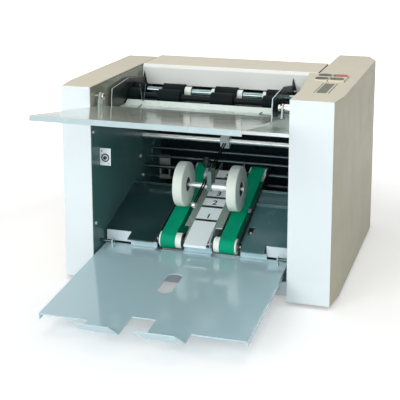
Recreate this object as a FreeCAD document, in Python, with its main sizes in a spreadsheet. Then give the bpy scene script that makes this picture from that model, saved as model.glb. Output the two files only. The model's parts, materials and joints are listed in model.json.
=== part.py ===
import FreeCAD, Part
import os
import math
import Sketcher
from FreeCAD import Vector

# Desktop paper folding machine. X runs across the paper path, Y from the delivery side to the
# feed side, Z up. The origin is the middle of the footprint at floor level.

doc = FreeCAD.newDocument("PaperFolder")

# ---- driving dimensions (mm, degrees) -------------------------------------------------------
SIZES = [
    ("front_y", -105.1, "front face of the side covers"),
    ("foot_h", 6.0, "height of the feet"),
    ("body_w", 500.0, "width over the side covers"),
    ("body_h", 354.0, "height of the side covers"),
    ("body_d", 475.0, "depth of the side covers"),
    ("left_in", -188.0, "inner edge of the left cover"),
    ("right_in", 168.6, "inner edge of the right cover"),
    ("taper_x", 7.0, "inward taper of a cover at the front"),
    ("taper_y", 54.0, "depth of the front taper"),
    ("bevel_x", 18.0, "inward bevel of a cover at the rear"),
    ("bevel_y", 44.0, "depth of the rear bevel"),
    ("fall_y", 342.0, "depth at which the top of the left cover starts to fall"),
    ("fall_h", 54.0, "fall of the left cover to the rear"),
    ("wall", 2.5, "cover wall"),
    ("sheet", 2.0, "sheet metal"),
    ("fit", 0.05, "radial fit of a shaft in a hole"),
    ("gap", 0.4, "clearance between parts that move past each other"),
    ("slope", 17.4, "pitch of the chute floor"),
    ("belt_slope", 18.3, "pitch of the delivery belts and of the arm"),
    ("shelf_drop", 58.0, "cross shelf below the top of the covers"),
    ("lid_w", 335.0, "width of the flip-over lid"),
    ("lid_l", 284.0, "length of the flip-over lid"),
    ("lid_t", 2.0, "thickness of the flip-over lid"),
    ("lid_tilt", 7.9, "rise of the open lid towards its front"),
    ("pivot_y", 32.0, "lid pivot behind the front face"),
    ("pivot_rise", 36.0, "lid pivot above the cross shelf"),
    ("ear_t", 3.0, "thickness of the lid ears"),
    ("tray_w", 345.0, "width of the delivery tray"),
    ("tray_l", 282.0, "length of the delivery tray"),
    ("tray_tilt", 4.8, "fall of the tray towards its front"),
    ("pin_y", 32.0, "tray pin behind the front face"),
    ("pin_z", 63.0, "height of the tray pin"),
    ("shaft_r", 6.0, "fold roller shaft radius"),
    ("ring_r", 14.0, "fold roller rubber radius"),
    ("pulley_r", 14.0, "belt pulley radius"),
    ("belt_t", 1.2, "belt thickness"),
    ("belt_w", 28.0, "belt width"),
    ("front_py", 52.0, "front belt shaft, depth"),
    ("front_pz", 70.4, "front belt shaft, height"),
    ("rear_py", 268.0, "rear belt shaft, depth"),
    ("rear_pz", 141.8, "rear belt shaft, height"),
    ("belt_x_l", -59.5, "middle of the left belt"),
    ("belt_x_r", 50.7, "middle of the right belt"),
    ("arm_x", -14.0, "middle of the stacker arm"),
    ("arm_y", 256.0, "stacker shaft, depth"),
    ("arm_z", 208.5, "stacker shaft, height"),
    ("wheel_r", 42.0, "stacker wheel radius"),
    ("wheel_w", 19.0, "stacker wheel width"),
    ("wheel_x_l", -57.0, "middle of the left stacker wheel"),
    ("wheel_x_r", 45.0, "middle of the right stacker wheel"),
    ("wheel_y", 124.0, "stacker wheel axle, depth"),
    ("wheel_z", 154.9, "stacker wheel axle, height"),
    ("axle_r", 5.0, "stacker axle tube radius"),
    ("knob_r", 7.0, "clamp knob radius"),
]
SHELF = "{body_h} - {shelf_drop}"
PIVOT_Z = SHELF + " + {pivot_rise}"
PANEL_W = "({body_w} / 2 - {right_in})"
dims = doc.addObject("Spreadsheet::Sheet", "Dims")
for row, (alias, value, note) in enumerate(SIZES, start=1):
    dims.set("A%d" % row, note)
    dims.set("B%d" % row, str(value))
    dims.setAlias("B%d" % row, alias)
doc.recompute()
SIZE = {alias: value for alias, value, note in SIZES}
CELL = {alias: "Dims." + alias for alias in SIZE}


def bind(shape, prop, expr):
    """Tie a property to the dimension table; aliases stand in braces."""
    shape.setExpression(prop, str(expr).format(**CELL))


def place(shape, x, y, z):
    """Set a position measured from the front face, the middle and the cover bottom."""
    bind(shape, "Placement.Base.x", x)
    bind(shape, "Placement.Base.y", "{front_y} + " + str(y))
    bind(shape, "Placement.Base.z", "{foot_h} + " + str(z))


def box(name, size, at):
    shape = doc.addObject("Part::Box", name)
    for prop, expr in zip(("Length", "Width", "Height"), size):
        bind(shape, prop, expr)
    place(shape, *at)
    return shape


TURN = {
    "x": FreeCAD.Rotation(Vector(0, 1, 0), 90),
    "y": FreeCAD.Rotation(Vector(1, 0, 0), -90),
    "z": FreeCAD.Rotation(),
}


def rod(name, radius, length, at, axis="x"):
    """Cylinder that starts at a point and runs along an axis."""
    shape = doc.addObject("Part::Cylinder", name)
    bind(shape, "Radius", radius)
    bind(shape, "Height", length)
    shape.Placement = FreeCAD.Placement(Vector(), TURN[axis])
    place(shape, *at)
    return shape


def cone(name, low_r, high_r, length, at, axis="x"):
    shape = doc.addObject("Part::Cone", name)
    bind(shape, "Radius1", low_r)
    bind(shape, "Radius2", high_r)
    bind(shape, "Height", length)
    shape.Placement = FreeCAD.Placement(Vector(), TURN[axis])
    place(shape, *at)
    return shape


def join(name, *shapes):
    fused = doc.addObject("Part::MultiFuse", name)
    fused.Shapes = list(shapes)
    fused.Refine = True
    return fused


def cut(name, base, *tools):
    if len(tools) == 1:
        tool = tools[0]
    else:
        tool = doc.addObject("Part::Compound", name + "_tools")
        tool.Links = list(tools)
    result = doc.addObject("Part::Cut", name)
    result.Base = base
    result.Tool = tool
    return result


def group(name, *shapes):
    """Separate solids that share one node."""
    result = doc.addObject("Part::Compound", name)
    result.Links = list(shapes)
    return result


def profile(name, plane, points, length, start="0", at=("0", "0", "0"), tilt=0.0):
    """Body padded from a closed outline.

    plane XY: outline in (x, y), padded up. plane YZ: outline in (y, z), padded along x.
    Points are numbers or dimension expressions; start shifts the outline along the pad.
    """
    body = doc.addObject("PartDesign::Body", name)
    role = plane + "_Plane"
    origin_plane = [part for part in body.Origin.OriginFeatures if part.Role == role][0]
    sketch = body.newObject("Sketcher::SketchObject", name + "_outline")
    sketch.AttachmentSupport = [(origin_plane, "")]
    sketch.MapMode = "FlatFace"
    bind(sketch, "AttachmentOffset.Base.z", start)
    count = len(points)
    rough = []
    for step in range(count):
        angle = 2 * math.pi * step / count
        rough.append(Vector(math.cos(angle), math.sin(angle), 0))
    numeric = all(not isinstance(value, str) for pair in points for value in pair)
    if numeric:
        rough = [Vector(first, second, 0) for first, second in points]
    for step in range(count):
        sketch.addGeometry(Part.LineSegment(rough[step], rough[(step + 1) % count]))
    for step in range(count):
        sketch.addConstraint(Sketcher.Constraint("Coincident", step, 2, (step + 1) % count, 1))
    for step, pair in enumerate(points):
        for kind, value in zip(("DistanceX", "DistanceY"), pair):
            tied = isinstance(value, str)
            rest = rough[step].x if kind == "DistanceX" else rough[step].y
            held = rest if tied else value
            number = sketch.addConstraint(Sketcher.Constraint(kind, -1, 1, step, 1, held))
            if tied:
                bind(sketch, "Constraints[%d]" % number, value)
    pad = body.newObject("PartDesign::Pad", name + "_pad")
    pad.Profile = sketch
    bind(pad, "Length", length)
    sketch.Visibility = False
    body.Tip = pad
    body.Placement = FreeCAD.Placement(Vector(), FreeCAD.Rotation(Vector(1, 0, 0), tilt))
    place(body, *at)
    return body


def ring(name, outer, inner, length, at, axis="x"):
    """Tube along an axis."""
    solid = rod(name + "_outer", outer, length, at, axis)
    hole = rod(name + "_bore", inner, length, at, axis)
    return cut(name, solid, hole)


parts = {}

# ---- side covers ----------------------------------------------------------------------------


def rear_fall(name, drop):
    """Wedge that takes the top off the rear of the left side, a drop below the cover top."""
    edge = "{body_h} - " + drop
    low = edge + " - {fall_h}"
    outline = [
        ("{fall_y}", edge), ("{body_d} + 5", low), ("{body_d} + 5", "{body_h} + 5"),
        ("{fall_y}", "{body_h} + 5"),
    ]
    return profile(name, "YZ", outline, "{body_w} / 2 + {left_in} + 20", "-{body_w} / 2 - 10")


def side_cover(name, outline, cavity):
    outer = profile(name + "_skin", "XY", outline, "{body_h}")
    inner = profile(name + "_hollow", "XY", cavity, "{body_h} - {wall} + 1", "-1")
    if name == "left":
        outer = cut("left_skin_cut", outer, rear_fall("left_skin_fall", "0"))
        inner = cut("left_hollow_cut", inner, rear_fall("left_hollow_fall", "{wall}"))
    return cut(name + "_shell", outer, inner)


left_outline = [
    ("{left_in}", "0"),
    ("{left_in}", "{body_d}"),
    ("-{body_w} / 2 + {bevel_x}", "{body_d}"),
    ("-{body_w} / 2", "{body_d} - {bevel_y}"),
    ("-{body_w} / 2", "{taper_y}"),
    ("-{body_w} / 2 + {taper_x}", "0"),
]
left_cavity = [
    ("{left_in} + 5", "{wall}"),
    ("{left_in} + 5", "{body_d} - {wall}"),
    ("-{body_w} / 2 + {bevel_x} + {wall}", "{body_d} - {wall}"),
    ("-{body_w} / 2 + {wall}", "{body_d} - {bevel_y}"),
    ("-{body_w} / 2 + {wall}", "{taper_y}"),
    ("-{body_w} / 2 + {taper_x} + {wall}", "{wall}"),
]
right_outline = [
    ("{right_in}", "0"),
    ("{body_w} / 2 - {taper_x}", "0"),
    ("{body_w} / 2", "{taper_y}"),
    ("{body_w} / 2", "{body_d} - {bevel_y}"),
    ("{body_w} / 2 - {bevel_x}", "{body_d}"),
    ("{right_in}", "{body_d}"),
    ("{right_in}", "254.6"),
    ("150", "254.6"),
    ("{right_in}", "76"),
]
right_cavity = [
    ("140", "{wall}"),
    ("{body_w} / 2 - {taper_x} - {wall}", "{wall}"),
    ("{body_w} / 2 - {wall}", "{taper_y}"),
    ("{body_w} / 2 - {wall}", "{body_d} - {bevel_y}"),
    ("{body_w} / 2 - {bevel_x} - {wall}", "{body_d} - {wall}"),
    ("140", "{body_d} - {wall}"),
]
parts["left_side_cover"] = side_cover("left", left_outline, left_cavity)
right_shell = side_cover("right", right_outline, right_cavity)
# Each key: node, middle across the panel and width as shares of the panel, middle in depth.
KEYS = [
    ("dark_key_rear", 0.206, 0.307, 221.0),
    ("dark_key_front", 0.206, 0.307, 188.0),
    ("red_stop_key", 0.5577, 0.3563, 221.0),
    ("green_start_key", 0.5577, 0.3563, 188.0),
]
KEY_DEPTH = 26.0
DISPLAY_X = "{right_in} + 0.478 * " + PANEL_W
DISPLAY_W = 17.0
key_holes = []
for name, share, key_w, key_y in KEYS:
    size = ("%s * %s + 2 * {gap}" % (key_w, PANEL_W), "%s + 2 * {gap}" % KEY_DEPTH, "10")
    left = "{right_in} + %s * %s - {gap}" % (share - key_w / 2, PANEL_W)
    at = (left, "%s - {gap}" % (key_y - KEY_DEPTH / 2), "{body_h} - 5")
    key_holes.append(box(name + "_hole", size, at))
display_at = (DISPLAY_X + " - %s" % (DISPLAY_W / 2), "70", "{body_h} - 5")
display_hole = box("display_hole", (str(DISPLAY_W), "86", "10"), display_at)
parts["right_side_cover"] = cut("right_cover_cut", right_shell, display_hole, *key_holes)

# ---- control panel --------------------------------------------------------------------------
glass_at = (DISPLAY_X + " - %s" % (DISPLAY_W / 2 - 0.05), "70.05", "{body_h} - {wall}")
display = box("display_glass", (str(DISPLAY_W - 0.1), "85.9", "{wall} + 0.3"), glass_at)
trims = []
for side in (-13, 12):
    trim_at = (DISPLAY_X + " + %s" % side, "68", "{body_h}")
    trims.append(box("trim_%d" % len(trims), ("1.2", "90", "0.5"), trim_at))
parts["display_window"] = group("display_group", display, *trims)
for name, share, key_w, key_y in KEYS:
    left = "{right_in} + %s * %s" % (share - key_w / 2, PANEL_W)
    middle = "{right_in} + %s * %s" % (share, PANEL_W)
    size = ("%s * %s" % (key_w, PANEL_W), str(KEY_DEPTH), "6")
    cap = box(name + "_cap", size, (left, key_y - KEY_DEPTH / 2, "{body_h} - 3"))
    stem = rod(name + "_stem", "4", "8", (middle, key_y, "{body_h} - 11"), "z")
    parts[name] = join(name + "_key", cap, stem)
BOARD_X = "{right_in} + 3.4"
BOARD_W = PANEL_W + " - 15.4"
board = box("board_plate", (BOARD_W, "180", "1.6"), (BOARD_X, "66", "{body_h} - 18"))
posts = []
for post_x in (BOARD_X + " + 5", BOARD_X + " + " + BOARD_W + " - 5"):
    for post_y in (72, 240):
        post_at = (post_x, post_y, "{body_h} - 16.4")
        posts.append(rod("board_post_%d" % len(posts), "3", "13.3", post_at, "z"))
parts["control_board"] = join("control_board_all", board, *posts)

# ---- frames, pan and panels -----------------------------------------------------------------
FOLD_A = ("200", SHELF + " + 18")
FOLD_B = ("172", SHELF + " + 12")
FOLD_C = ("196", SHELF + " - 11")
FEED = ("318", SHELF + " + 4")
JOURNALS = [
    (FOLD_A[0], FOLD_A[1], "{shaft_r}"),
    (FOLD_B[0], FOLD_B[1], "{shaft_r}"),
    (FOLD_C[0], FOLD_C[1], "{shaft_r}"),
    (FEED[0], FEED[1], "{shaft_r}"),
    ("{rear_py}", "{rear_pz}", "4"),
]


def frame(name, start):
    size = ("{sheet}", "{body_d} - 2 * {wall}", "{body_h} - {wall} - 4")
    plate = box(name + "_plate", size, (start, "{wall}", "4"))
    holes = []
    for number, (hole_y, hole_z, radius) in enumerate(JOURNALS):
        hole_at = (start + " - 9", hole_y, hole_z)
        holes.append(rod("%s_hole_%d" % (name, number), radius + " + {fit}", "20", hole_at))
    return cut(name + "_drilled", plate, *holes)


left_frame = frame("left_frame", "{left_in} - {sheet}")
parts["left_side_frame"] = cut("left_frame_cut", left_frame, rear_fall("left_frame_fall", "{wall}"))
parts["right_side_frame"] = frame("right_frame", "{right_in}")
IN_W = "{right_in} - {left_in}"
pan_size = ("{body_w} - 30", "{body_d} - 55", "{sheet}")
pan_floor = box("pan_floor", pan_size, ("-{body_w} / 2 + 15", "20", "2"))
pan_front = box("pan_front", (IN_W, "{sheet}", "24"), ("{left_in}", "20", "4"))
parts["base_pan"] = join("base_pan_all", pan_floor, pan_front)
feet = []
for foot_x in ("-{body_w} / 2 + 28", "{body_w} / 2 - 28"):
    for foot_y in ("46", "{body_d} - 55"):
        tag = "foot_%d" % len(feet)
        feet.append(cone(tag, "12", "15", "{foot_h} + 2", (foot_x, foot_y, "-{foot_h}"), "z"))
parts["feet"] = group("rubber_feet", *feet)
REAR_Y = "{body_d} - 35"
rear_panel = box("rear_panel", (IN_W, "{sheet}", SHELF), ("{left_in}", REAR_Y, "4"))
rear_holes = [
    box("inlet_hole", ("28.1", "10", "20.1"), ("-154.05", REAR_Y + " - 4", "39.95")),
    box("switch_hole", ("22.1", "10", "16.1"), ("-111.05", REAR_Y + " - 4", "41.95")),
]
vents = []
for step in range(6):
    vents.append(box("vent_%d" % step, ("60", "10", "4"), ("60", REAR_Y + " - 4", 80 + 12 * step)))
parts["rear_cover"] = cut("rear_cover_cut", rear_panel, *rear_holes, *vents)
inlet_body = box("inlet_body", ("28", "18", "20"), ("-154", REAR_Y + " - 15.9", "40"))
inlet_rim = box("inlet_rim", ("34", "2", "26"), ("-157", REAR_Y + " + {sheet}", "37"))
inlet_cavity = box("inlet_cavity", ("22", "14", "14"), ("-151", REAR_Y + " - 9.9", "43"))
inlet_solid = cut("inlet_solid", join("inlet_block", inlet_body, inlet_rim), inlet_cavity)
inlet_pins = []
for pin_x, pin_z in ((-146, 48), (-134, 48), (-140, 52)):
    pin_at = (pin_x - 1, REAR_Y + " - 11", pin_z - 2)
    inlet_pins.append(box("inlet_pin_%d" % pin_x, ("2", "7", "4"), pin_at))
parts["power_inlet"] = join("power_inlet_all", inlet_solid, *inlet_pins)
switch_case = box("switch_case", ("22", "18", "16"), ("-111", REAR_Y + " - 15.9", "42"))
switch_rim = box("switch_rim", ("26", "2", "20"), ("-113", REAR_Y + " + {sheet}", "40"))
switch_block = join("switch_block", switch_case, switch_rim)
switch_bay = box("switch_bay", ("18.6", "17", "12.6"), ("-109.3", REAR_Y + " - 11", "43.7"))
switch_bore = rod("switch_bore", "1.5 + {fit}", "22", ("-111", REAR_Y + " + 1", "50"))
parts["switch_housing"] = cut("switch_housing_cut", switch_block, switch_bay, switch_bore)
# Outline of the rocker: distance behind the rear panel's inner face, height.
ROCKER = [(-2, 45.2), (6.6, 45.2), (4.4, 50), (4.9, 54.8), (-2, 54.8)]
rocker_body = profile("rocker_body", "YZ", ROCKER, "17.8", "-108.9", ("0", REAR_Y, "0"))
rocker_pin = rod("rocker_pin", "1.5", "21.4", ("-110.7", REAR_Y + " + 1", "50"))
parts["power_switch"] = join("power_switch_all", rocker_body, rocker_pin)

# ---- shelf and roller bay -------------------------------------------------------------------
# Outlines of this section give heights above the cross shelf.
on_shelf = ("0", "0", SHELF)
shelf_top = box("shelf_top", (IN_W, "150", "{sheet}"), ("{left_in}", "0", SHELF + " - {sheet}"))
shelf_lip = box("shelf_lip", (IN_W, "{sheet}", "4.5"), ("{left_in}", "0", SHELF + " - 6.5"))
parts["cross_shelf"] = join("cross_shelf_all", shelf_top, shelf_lip)
BRACKET = [(80, 0), (150, 0), (150, -4), (252, -4), (252, 33), (165, 46), (84, 40), (80, 21)]
BAR_Y = "186"
BAR_Z = SHELF + " + 3"
BAR_R = "2"


def bracket(name, start):
    plate = profile(name + "_plate", "YZ", BRACKET, "{sheet}", start, on_shelf)
    holes = []
    for number, (hole_y, hole_z) in enumerate((FOLD_A, FOLD_B)):
        hole_at = (start + " - 9", hole_y, hole_z)
        holes.append(rod("%s_hole_%d" % (name, number), "{shaft_r} + {fit}", "20", hole_at))
    holes.append(rod(name + "_bar_hole", BAR_R, "20", (start + " - 9", BAR_Y, BAR_Z)))
    return cut(name + "_drilled", plate, *holes)


parts["left_roller_bracket"] = bracket("left_bracket", "{left_in} + 6")
parts["right_roller_bracket"] = bracket("right_bracket", "119")

# ---- top cover and upper fold plate ---------------------------------------------------------
TOP_COVER = [
    (255, 18), (255, 52), (261, 58), (366, 58), (366, 44), (364, 44), (364, 56), (262, 56), (257, 51),
    (257, 18),
]
COVER_X = "{left_in} + 1.5"
parts["top_cover"] = profile(
    "top_cover_sheet", "YZ", TOP_COVER, "{right_in} - 3 - (" + COVER_X + ")", COVER_X, on_shelf
)
PLATE_Y = "292"
PLATE_DEPTH = "70"
plate_low = box("plate_low", (IN_W, PLATE_DEPTH, "{sheet}"), ("{left_in}", PLATE_Y, SHELF + " + 30"))
plate_high_at = ("{left_in} + 10", PLATE_Y, SHELF + " + 38")
plate_high = box("plate_high", (IN_W + " - 20", PLATE_DEPTH, "{sheet}"), plate_high_at)
rails = []
for rail_x in ("{left_in}", "{right_in} - 10"):
    rail_at = (rail_x, PLATE_Y, SHELF + " + 32")
    rails.append(box("rail_" + str(len(rails)), ("10", PLATE_DEPTH, "24"), rail_at))
parts["upper_fold_plate"] = join("upper_fold_plate_all", plate_low, plate_high, *rails)

# ---- fold rollers and feed ------------------------------------------------------------------
RINGS = [(-179, -157), (-122, -78), (-17.6, 25.5), (82, 118.6)]


GEAR_TEETH = 24
GEAR_X = "{right_in} + 9.4"
COLLARS = [(-77.9, 10, 13), (-25, 9, 7.3), (25.6, 10, 10), (74.6, 9, 7.3)]


def gear(name, centre, outer, root):
    """Spur wheel drawn as one outline: flat tooth tips and gaps."""
    points = []
    for step in range(GEAR_TEETH):
        for share, radius in ((0.0, root), (0.3, root), (0.45, outer), (0.85, outer)):
            angle = 2 * math.pi * (step + share) / GEAR_TEETH
            points.append((radius * math.cos(angle), radius * math.sin(angle)))
    return profile(name + "_gear", "YZ", points, "8", GEAR_X, ("0", centre[0], centre[1]))


def roller(name, centre, spans, collars, split):
    """Steel shaft with its gear, and rubber bands that share the shaft."""
    at = ("{left_in} - 6", centre[0], centre[1])
    bits = [rod(name + "_shaft", "{shaft_r}", IN_W + " + 32", at)]
    bits.append(gear(name, centre, 13.9, 12.4))
    for start, radius, length in collars:
        bits.append(rod("%s_collar_%d" % (name, start), radius, length, (start, centre[0], centre[1])))
    bands = []
    for low, high in spans:
        at = (low, centre[0], centre[1])
        if split:
            bands.append(ring("%s_band_%d" % (name, low), "{ring_r}", "{shaft_r}", high - low, at))
        else:
            bits.append(rod("%s_band_%d" % (name, low), "{ring_r}", high - low, at))
    if split:
        parts[name + "_shaft"] = join(name + "_core", *bits)
        parts[name + "_rubber"] = group(name + "_bands", *bands)
    else:
        parts[name] = join(name + "_core", *bits)


roller("rear_fold_roller", FOLD_A, RINGS, COLLARS, True)
roller("front_fold_roller", FOLD_B, RINGS, [], True)
roller("lower_fold_roller", FOLD_C, RINGS, [], False)
roller("feed_roller", FEED, [(-40, 20)], [], False)
TABLE = [(336, 10), (474, 32), (474, 22), (472, 22), (472, 29.6), (336, 8)]
parts["feed_table"] = profile("feed_table_sheet", "YZ", TABLE, IN_W, "{left_in}", on_shelf)
pad_block = box("pad_block", ("40", "12", "10"), ("-30", "312", SHELF + " - 20.5"))
pad_arm = box("pad_arm", (IN_W, "6", "6"), ("{left_in}", "315", SHELF + " - 26.5"))
parts["separator_pad"] = join("separator_pad_all", pad_block, pad_arm)
GUIDE = [(378, 17.1), (470, 31.7), (470, 38), (378, 33)]
parts["left_side_guide"] = profile("left_guide_plate", "YZ", GUIDE, "3", "-151.5", on_shelf)
parts["right_side_guide"] = profile("right_guide_plate", "YZ", GUIDE, "3", "129", on_shelf)

# ---- lid ------------------------------------------------------------------------------------
# The lid is drawn flat about its pivot, then tilted. Its sheet lies 17.4 mm under the pivot.
lid_at = ("0", "{pivot_y}", PIVOT_Z)
lid_sheet = profile(
    "lid_sheet", "YZ",
    [("-{lid_l} + 14", -27.0), ("-{lid_l} + 14 + {lid_t}", -27.0),
     ("-{lid_l} + 14 + {lid_t}", "-17.4 - {lid_t}"), ("14", "-17.4 - {lid_t}"), ("14", -17.4),
     ("-{lid_l} + 14", -17.4)],
    "{lid_w}", "-183", lid_at, -SIZE["lid_tilt"],
)
ears = []
EAR = [(-8, -17.4), (8, -17.4), (6, 4), (3, 7), (-3, 7), (-6, 4)]
for start in ("-183", "-183 + {lid_w} - {ear_t}"):
    ear = profile("lid_ear_%d" % len(ears), "YZ", EAR, "{ear_t}", start, lid_at, -SIZE["lid_tilt"])
    hole = rod("lid_ear_hole_%d" % len(ears), "3 + {fit}", "20", (start + " - 8", "{pivot_y}", PIVOT_Z))
    ears.append(cut("lid_ear_cut_%d" % len(ears), ear, hole))
parts["flip_lid"] = join("flip_lid_all", lid_sheet, *ears)
pivots = [
    rod("pivot_left", "3", "10", ("{left_in}", "{pivot_y}", PIVOT_Z)),
    rod("pivot_right", "3", "22.6", ("{right_in} - 22.6", "{pivot_y}", PIVOT_Z)),
    rod("pivot_left_head", "5.5", "3", ("{left_in} + 10", "{pivot_y}", PIVOT_Z)),
    rod("pivot_right_head", "5.5", "3", ("{right_in} - 25.6", "{pivot_y}", PIVOT_Z)),
    rod("pivot_right_collar", "7", "15", ("{right_in} - 15", "{pivot_y}", PIVOT_Z)),
]
left_pin = join("pivot_pin_left", pivots[0], pivots[2])
right_pin = join("pivot_pin_right", pivots[1], pivots[3], pivots[4])
parts["lid_pivots"] = group("lid_pivot_pins", left_pin, right_pin)

# ---- chute, sill and tray -------------------------------------------------------------------
RISE = math.tan(math.radians(SIZE["slope"]))


def floor_z(y):
    return 58.4 + RISE * y


def floor_panel(name, low, high, lift, start, length):
    points = [(low, floor_z(low) + lift), (high, floor_z(high) + lift), (high, floor_z(high) + lift - 2)]
    points.append((low, floor_z(low) + lift - 2))
    return profile(name, "YZ", points, length, start)


FLOOR_Y = 56.5
TONGUE_Y = 34.5
LEFT_W = "{belt_x_l} - 20.9 - {left_in}"
RIGHT_X = "{belt_x_r} + 21.4"
RIGHT_W = "{right_in} - (" + RIGHT_X + ")"
BAR_END_Y = 208.5
EDGE_Z = floor_z(BAR_END_Y) - 1
STEP_Y = 168
STEP_H = 4
left_floor = floor_panel("left_floor", FLOOR_Y, 208, 0, "{left_in}", LEFT_W)
left_tongue = floor_panel("left_tongue", TONGUE_Y, FLOOR_Y, 0, "-136", "51")
left_bar = rod("edge_bar_left", "2.5", LEFT_W, ("{left_in}", BAR_END_Y, EDGE_Z))
parts["left_chute_floor"] = join("left_floor_all", left_floor, left_tongue, left_bar)
right_low = floor_panel("right_floor_low", FLOOR_Y, STEP_Y, 0, RIGHT_X, RIGHT_W)
right_tongue = floor_panel("right_tongue", TONGUE_Y, FLOOR_Y, 0, "{belt_x_r} + 25.3", "42")
right_step = box("right_floor_step", (RIGHT_W, "2", "7"), (RIGHT_X, STEP_Y - 1, floor_z(STEP_Y) - 2))
right_high = floor_panel("right_floor_high", STEP_Y, 208, STEP_H, RIGHT_X, RIGHT_W)
right_bar = rod("edge_bar_right", "3", RIGHT_W, (RIGHT_X, BAR_END_Y, EDGE_Z + STEP_H))
right_sheet = join("right_floor_all", right_low, right_tongue, right_step, right_high, right_bar)
SLOT_X = "{belt_x_r} + 30.3"
floor_slot = [
    box("floor_slot", ("10", "12", "30"), (SLOT_X + " - 5", "88", "70")),
    rod("floor_slot_front", "5", "30", (SLOT_X, "88", "70"), "z"),
    rod("floor_slot_back", "5", "30", (SLOT_X, "100", "70"), "z"),
]
parts["right_chute_floor"] = cut("right_floor_cut", right_sheet, *floor_slot)
# Each corner bracket closes the front of a floor and reaches under it.
CORNER_LEG = 66
CORNER = [
    (FLOOR_Y - 2, 56.3), (FLOOR_Y, 56.3), (FLOOR_Y, floor_z(FLOOR_Y) - 4),
    (CORNER_LEG, floor_z(CORNER_LEG) - 4), (CORNER_LEG, floor_z(CORNER_LEG) - 2),
    (FLOOR_Y, floor_z(FLOOR_Y) - 2), (FLOOR_Y, floor_z(FLOOR_Y)), (FLOOR_Y - 2, floor_z(FLOOR_Y - 2)),
]
corner_brackets = []
for start, length in (("{left_in} + 4", "48"), ("{right_in} - 49", "46")):
    tag = "corner_%d" % len(corner_brackets)
    corner_brackets.append(profile(tag, "YZ", CORNER, length, start))
parts["corner_brackets"] = group("corner_bracket_pair", *corner_brackets)
sill_face = box("sill_face", (IN_W, "2", "38"), ("{left_in}", "60", "6"))
sill_top = box("sill_top", (IN_W, "14", "2"), ("{left_in}", "60", "44"))
parts["front_sill"] = join("front_sill_all", sill_face, sill_top)
tray_pins = [
    rod("tray_pin_left", "3", "26", ("{left_in}", "{pin_y}", "{pin_z}")),
    rod("tray_pin_right", "3", "24", ("{right_in} - 24", "{pin_y}", "{pin_z}")),
]
parts["tray_pins"] = group("tray_pin_pair", *tray_pins)
# The tray is drawn flat about its pins (u across, v from the pins), then tilted.
tray_at = ("0", "{pin_y}", "{pin_z}")
TRAY_DROP = 11.6
FRONT = -262
TONGUE = -288
NOTCH = -234
TABS = [(-135, 51), (-33, 54), (73, 48)]
TRAY = [
    (-184, FRONT), (-98, FRONT), (-98, TONGUE), (-35, TONGUE), (-35, NOTCH), (5.5, NOTCH), (5.5, TONGUE),
    (72, TONGUE), (72, FRONT), (161, FRONT), (161, 20), (73, 20), (73, 4), (21, 4), (21, 20), (-33, 20),
    (-33, 4), (-84, 4), (-84, 20), (-184, 20),
]
tray_plate = profile(
    "tray_plate", "XY", TRAY, "{sheet}", "-%s - {sheet}" % TRAY_DROP, tray_at, SIZE["tray_tilt"]
)
tray_bits = [tray_plate]
LIPS = [
    (TONGUE, -TRAY_DROP - 2), (TONGUE, -TRAY_DROP), (TONGUE - 8, -TRAY_DROP + 10),
    (TONGUE - 10, -TRAY_DROP + 9), (TONGUE - 1.6, -TRAY_DROP - 2),
]
TAB = [(18, -TRAY_DROP - 2), (20, -TRAY_DROP - 2), (20, -1.7), (18, -1.7)]
SKIRT = [(FRONT, -TRAY_DROP - 10), (16, -TRAY_DROP - 10), (16, -TRAY_DROP - 1), (FRONT, -TRAY_DROP - 1)]
TRAY_EAR = [(-5, -TRAY_DROP - 1), (5, -TRAY_DROP - 1), (5, 2), (2, 4.6), (-2, 4.6), (-5, 2)]
RIB = [(8, -TRAY_DROP - 1), (10.4, -TRAY_DROP - 1), (10.4, -TRAY_DROP + 0.8), (8, -TRAY_DROP + 0.8)]
# Each bend of the tray sheet: name, outline, start across the tray and length.
BENDS = [
    ("tray_lip", LIPS, ((-98, 63), (5.5, 66.5))),
    ("tray_tab", TAB, TABS),
    ("tray_skirt", SKIRT, ((-184, 2), (159, 2))),
    ("tray_ear", TRAY_EAR, ((-164, 2), (144.6, 2))),
    ("tray_rib", RIB, ((-133, 47), (-31, 47), (75, 41.6))),
]
for tag, outline, spans in BENDS:
    for number, (start, length) in enumerate(spans):
        name = "%s_%d" % (tag, number)
        bend = profile(name, "YZ", outline, str(length), str(start), tray_at, SIZE["tray_tilt"])
        tray_bits.append(bend)
tray_solid = join("tray_solid", *tray_bits)
slot_tools = [
    box("tray_slot", ("26", "46", "30"), ("-27.6", "-100", "25")),
    rod("tray_slot_front", "13", "30", ("-14.6", "-100", "25"), "z"),
    rod("tray_slot_back", "13", "30", ("-14.6", "-54", "25"), "z"),
    rod("tray_ear_bore", "3 + {fit}", "400", ("-200", "{pin_y}", "{pin_z}")),
]
parts["delivery_tray"] = cut("delivery_tray_cut", tray_solid, *slot_tools)

# ---- conveyor -------------------------------------------------------------------------------
BELT_RISE = math.tan(math.radians(SIZE["belt_slope"]))


def belt_z(y):
    """Height of the top of the belts."""
    return 69.2 + BELT_RISE * y


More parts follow.
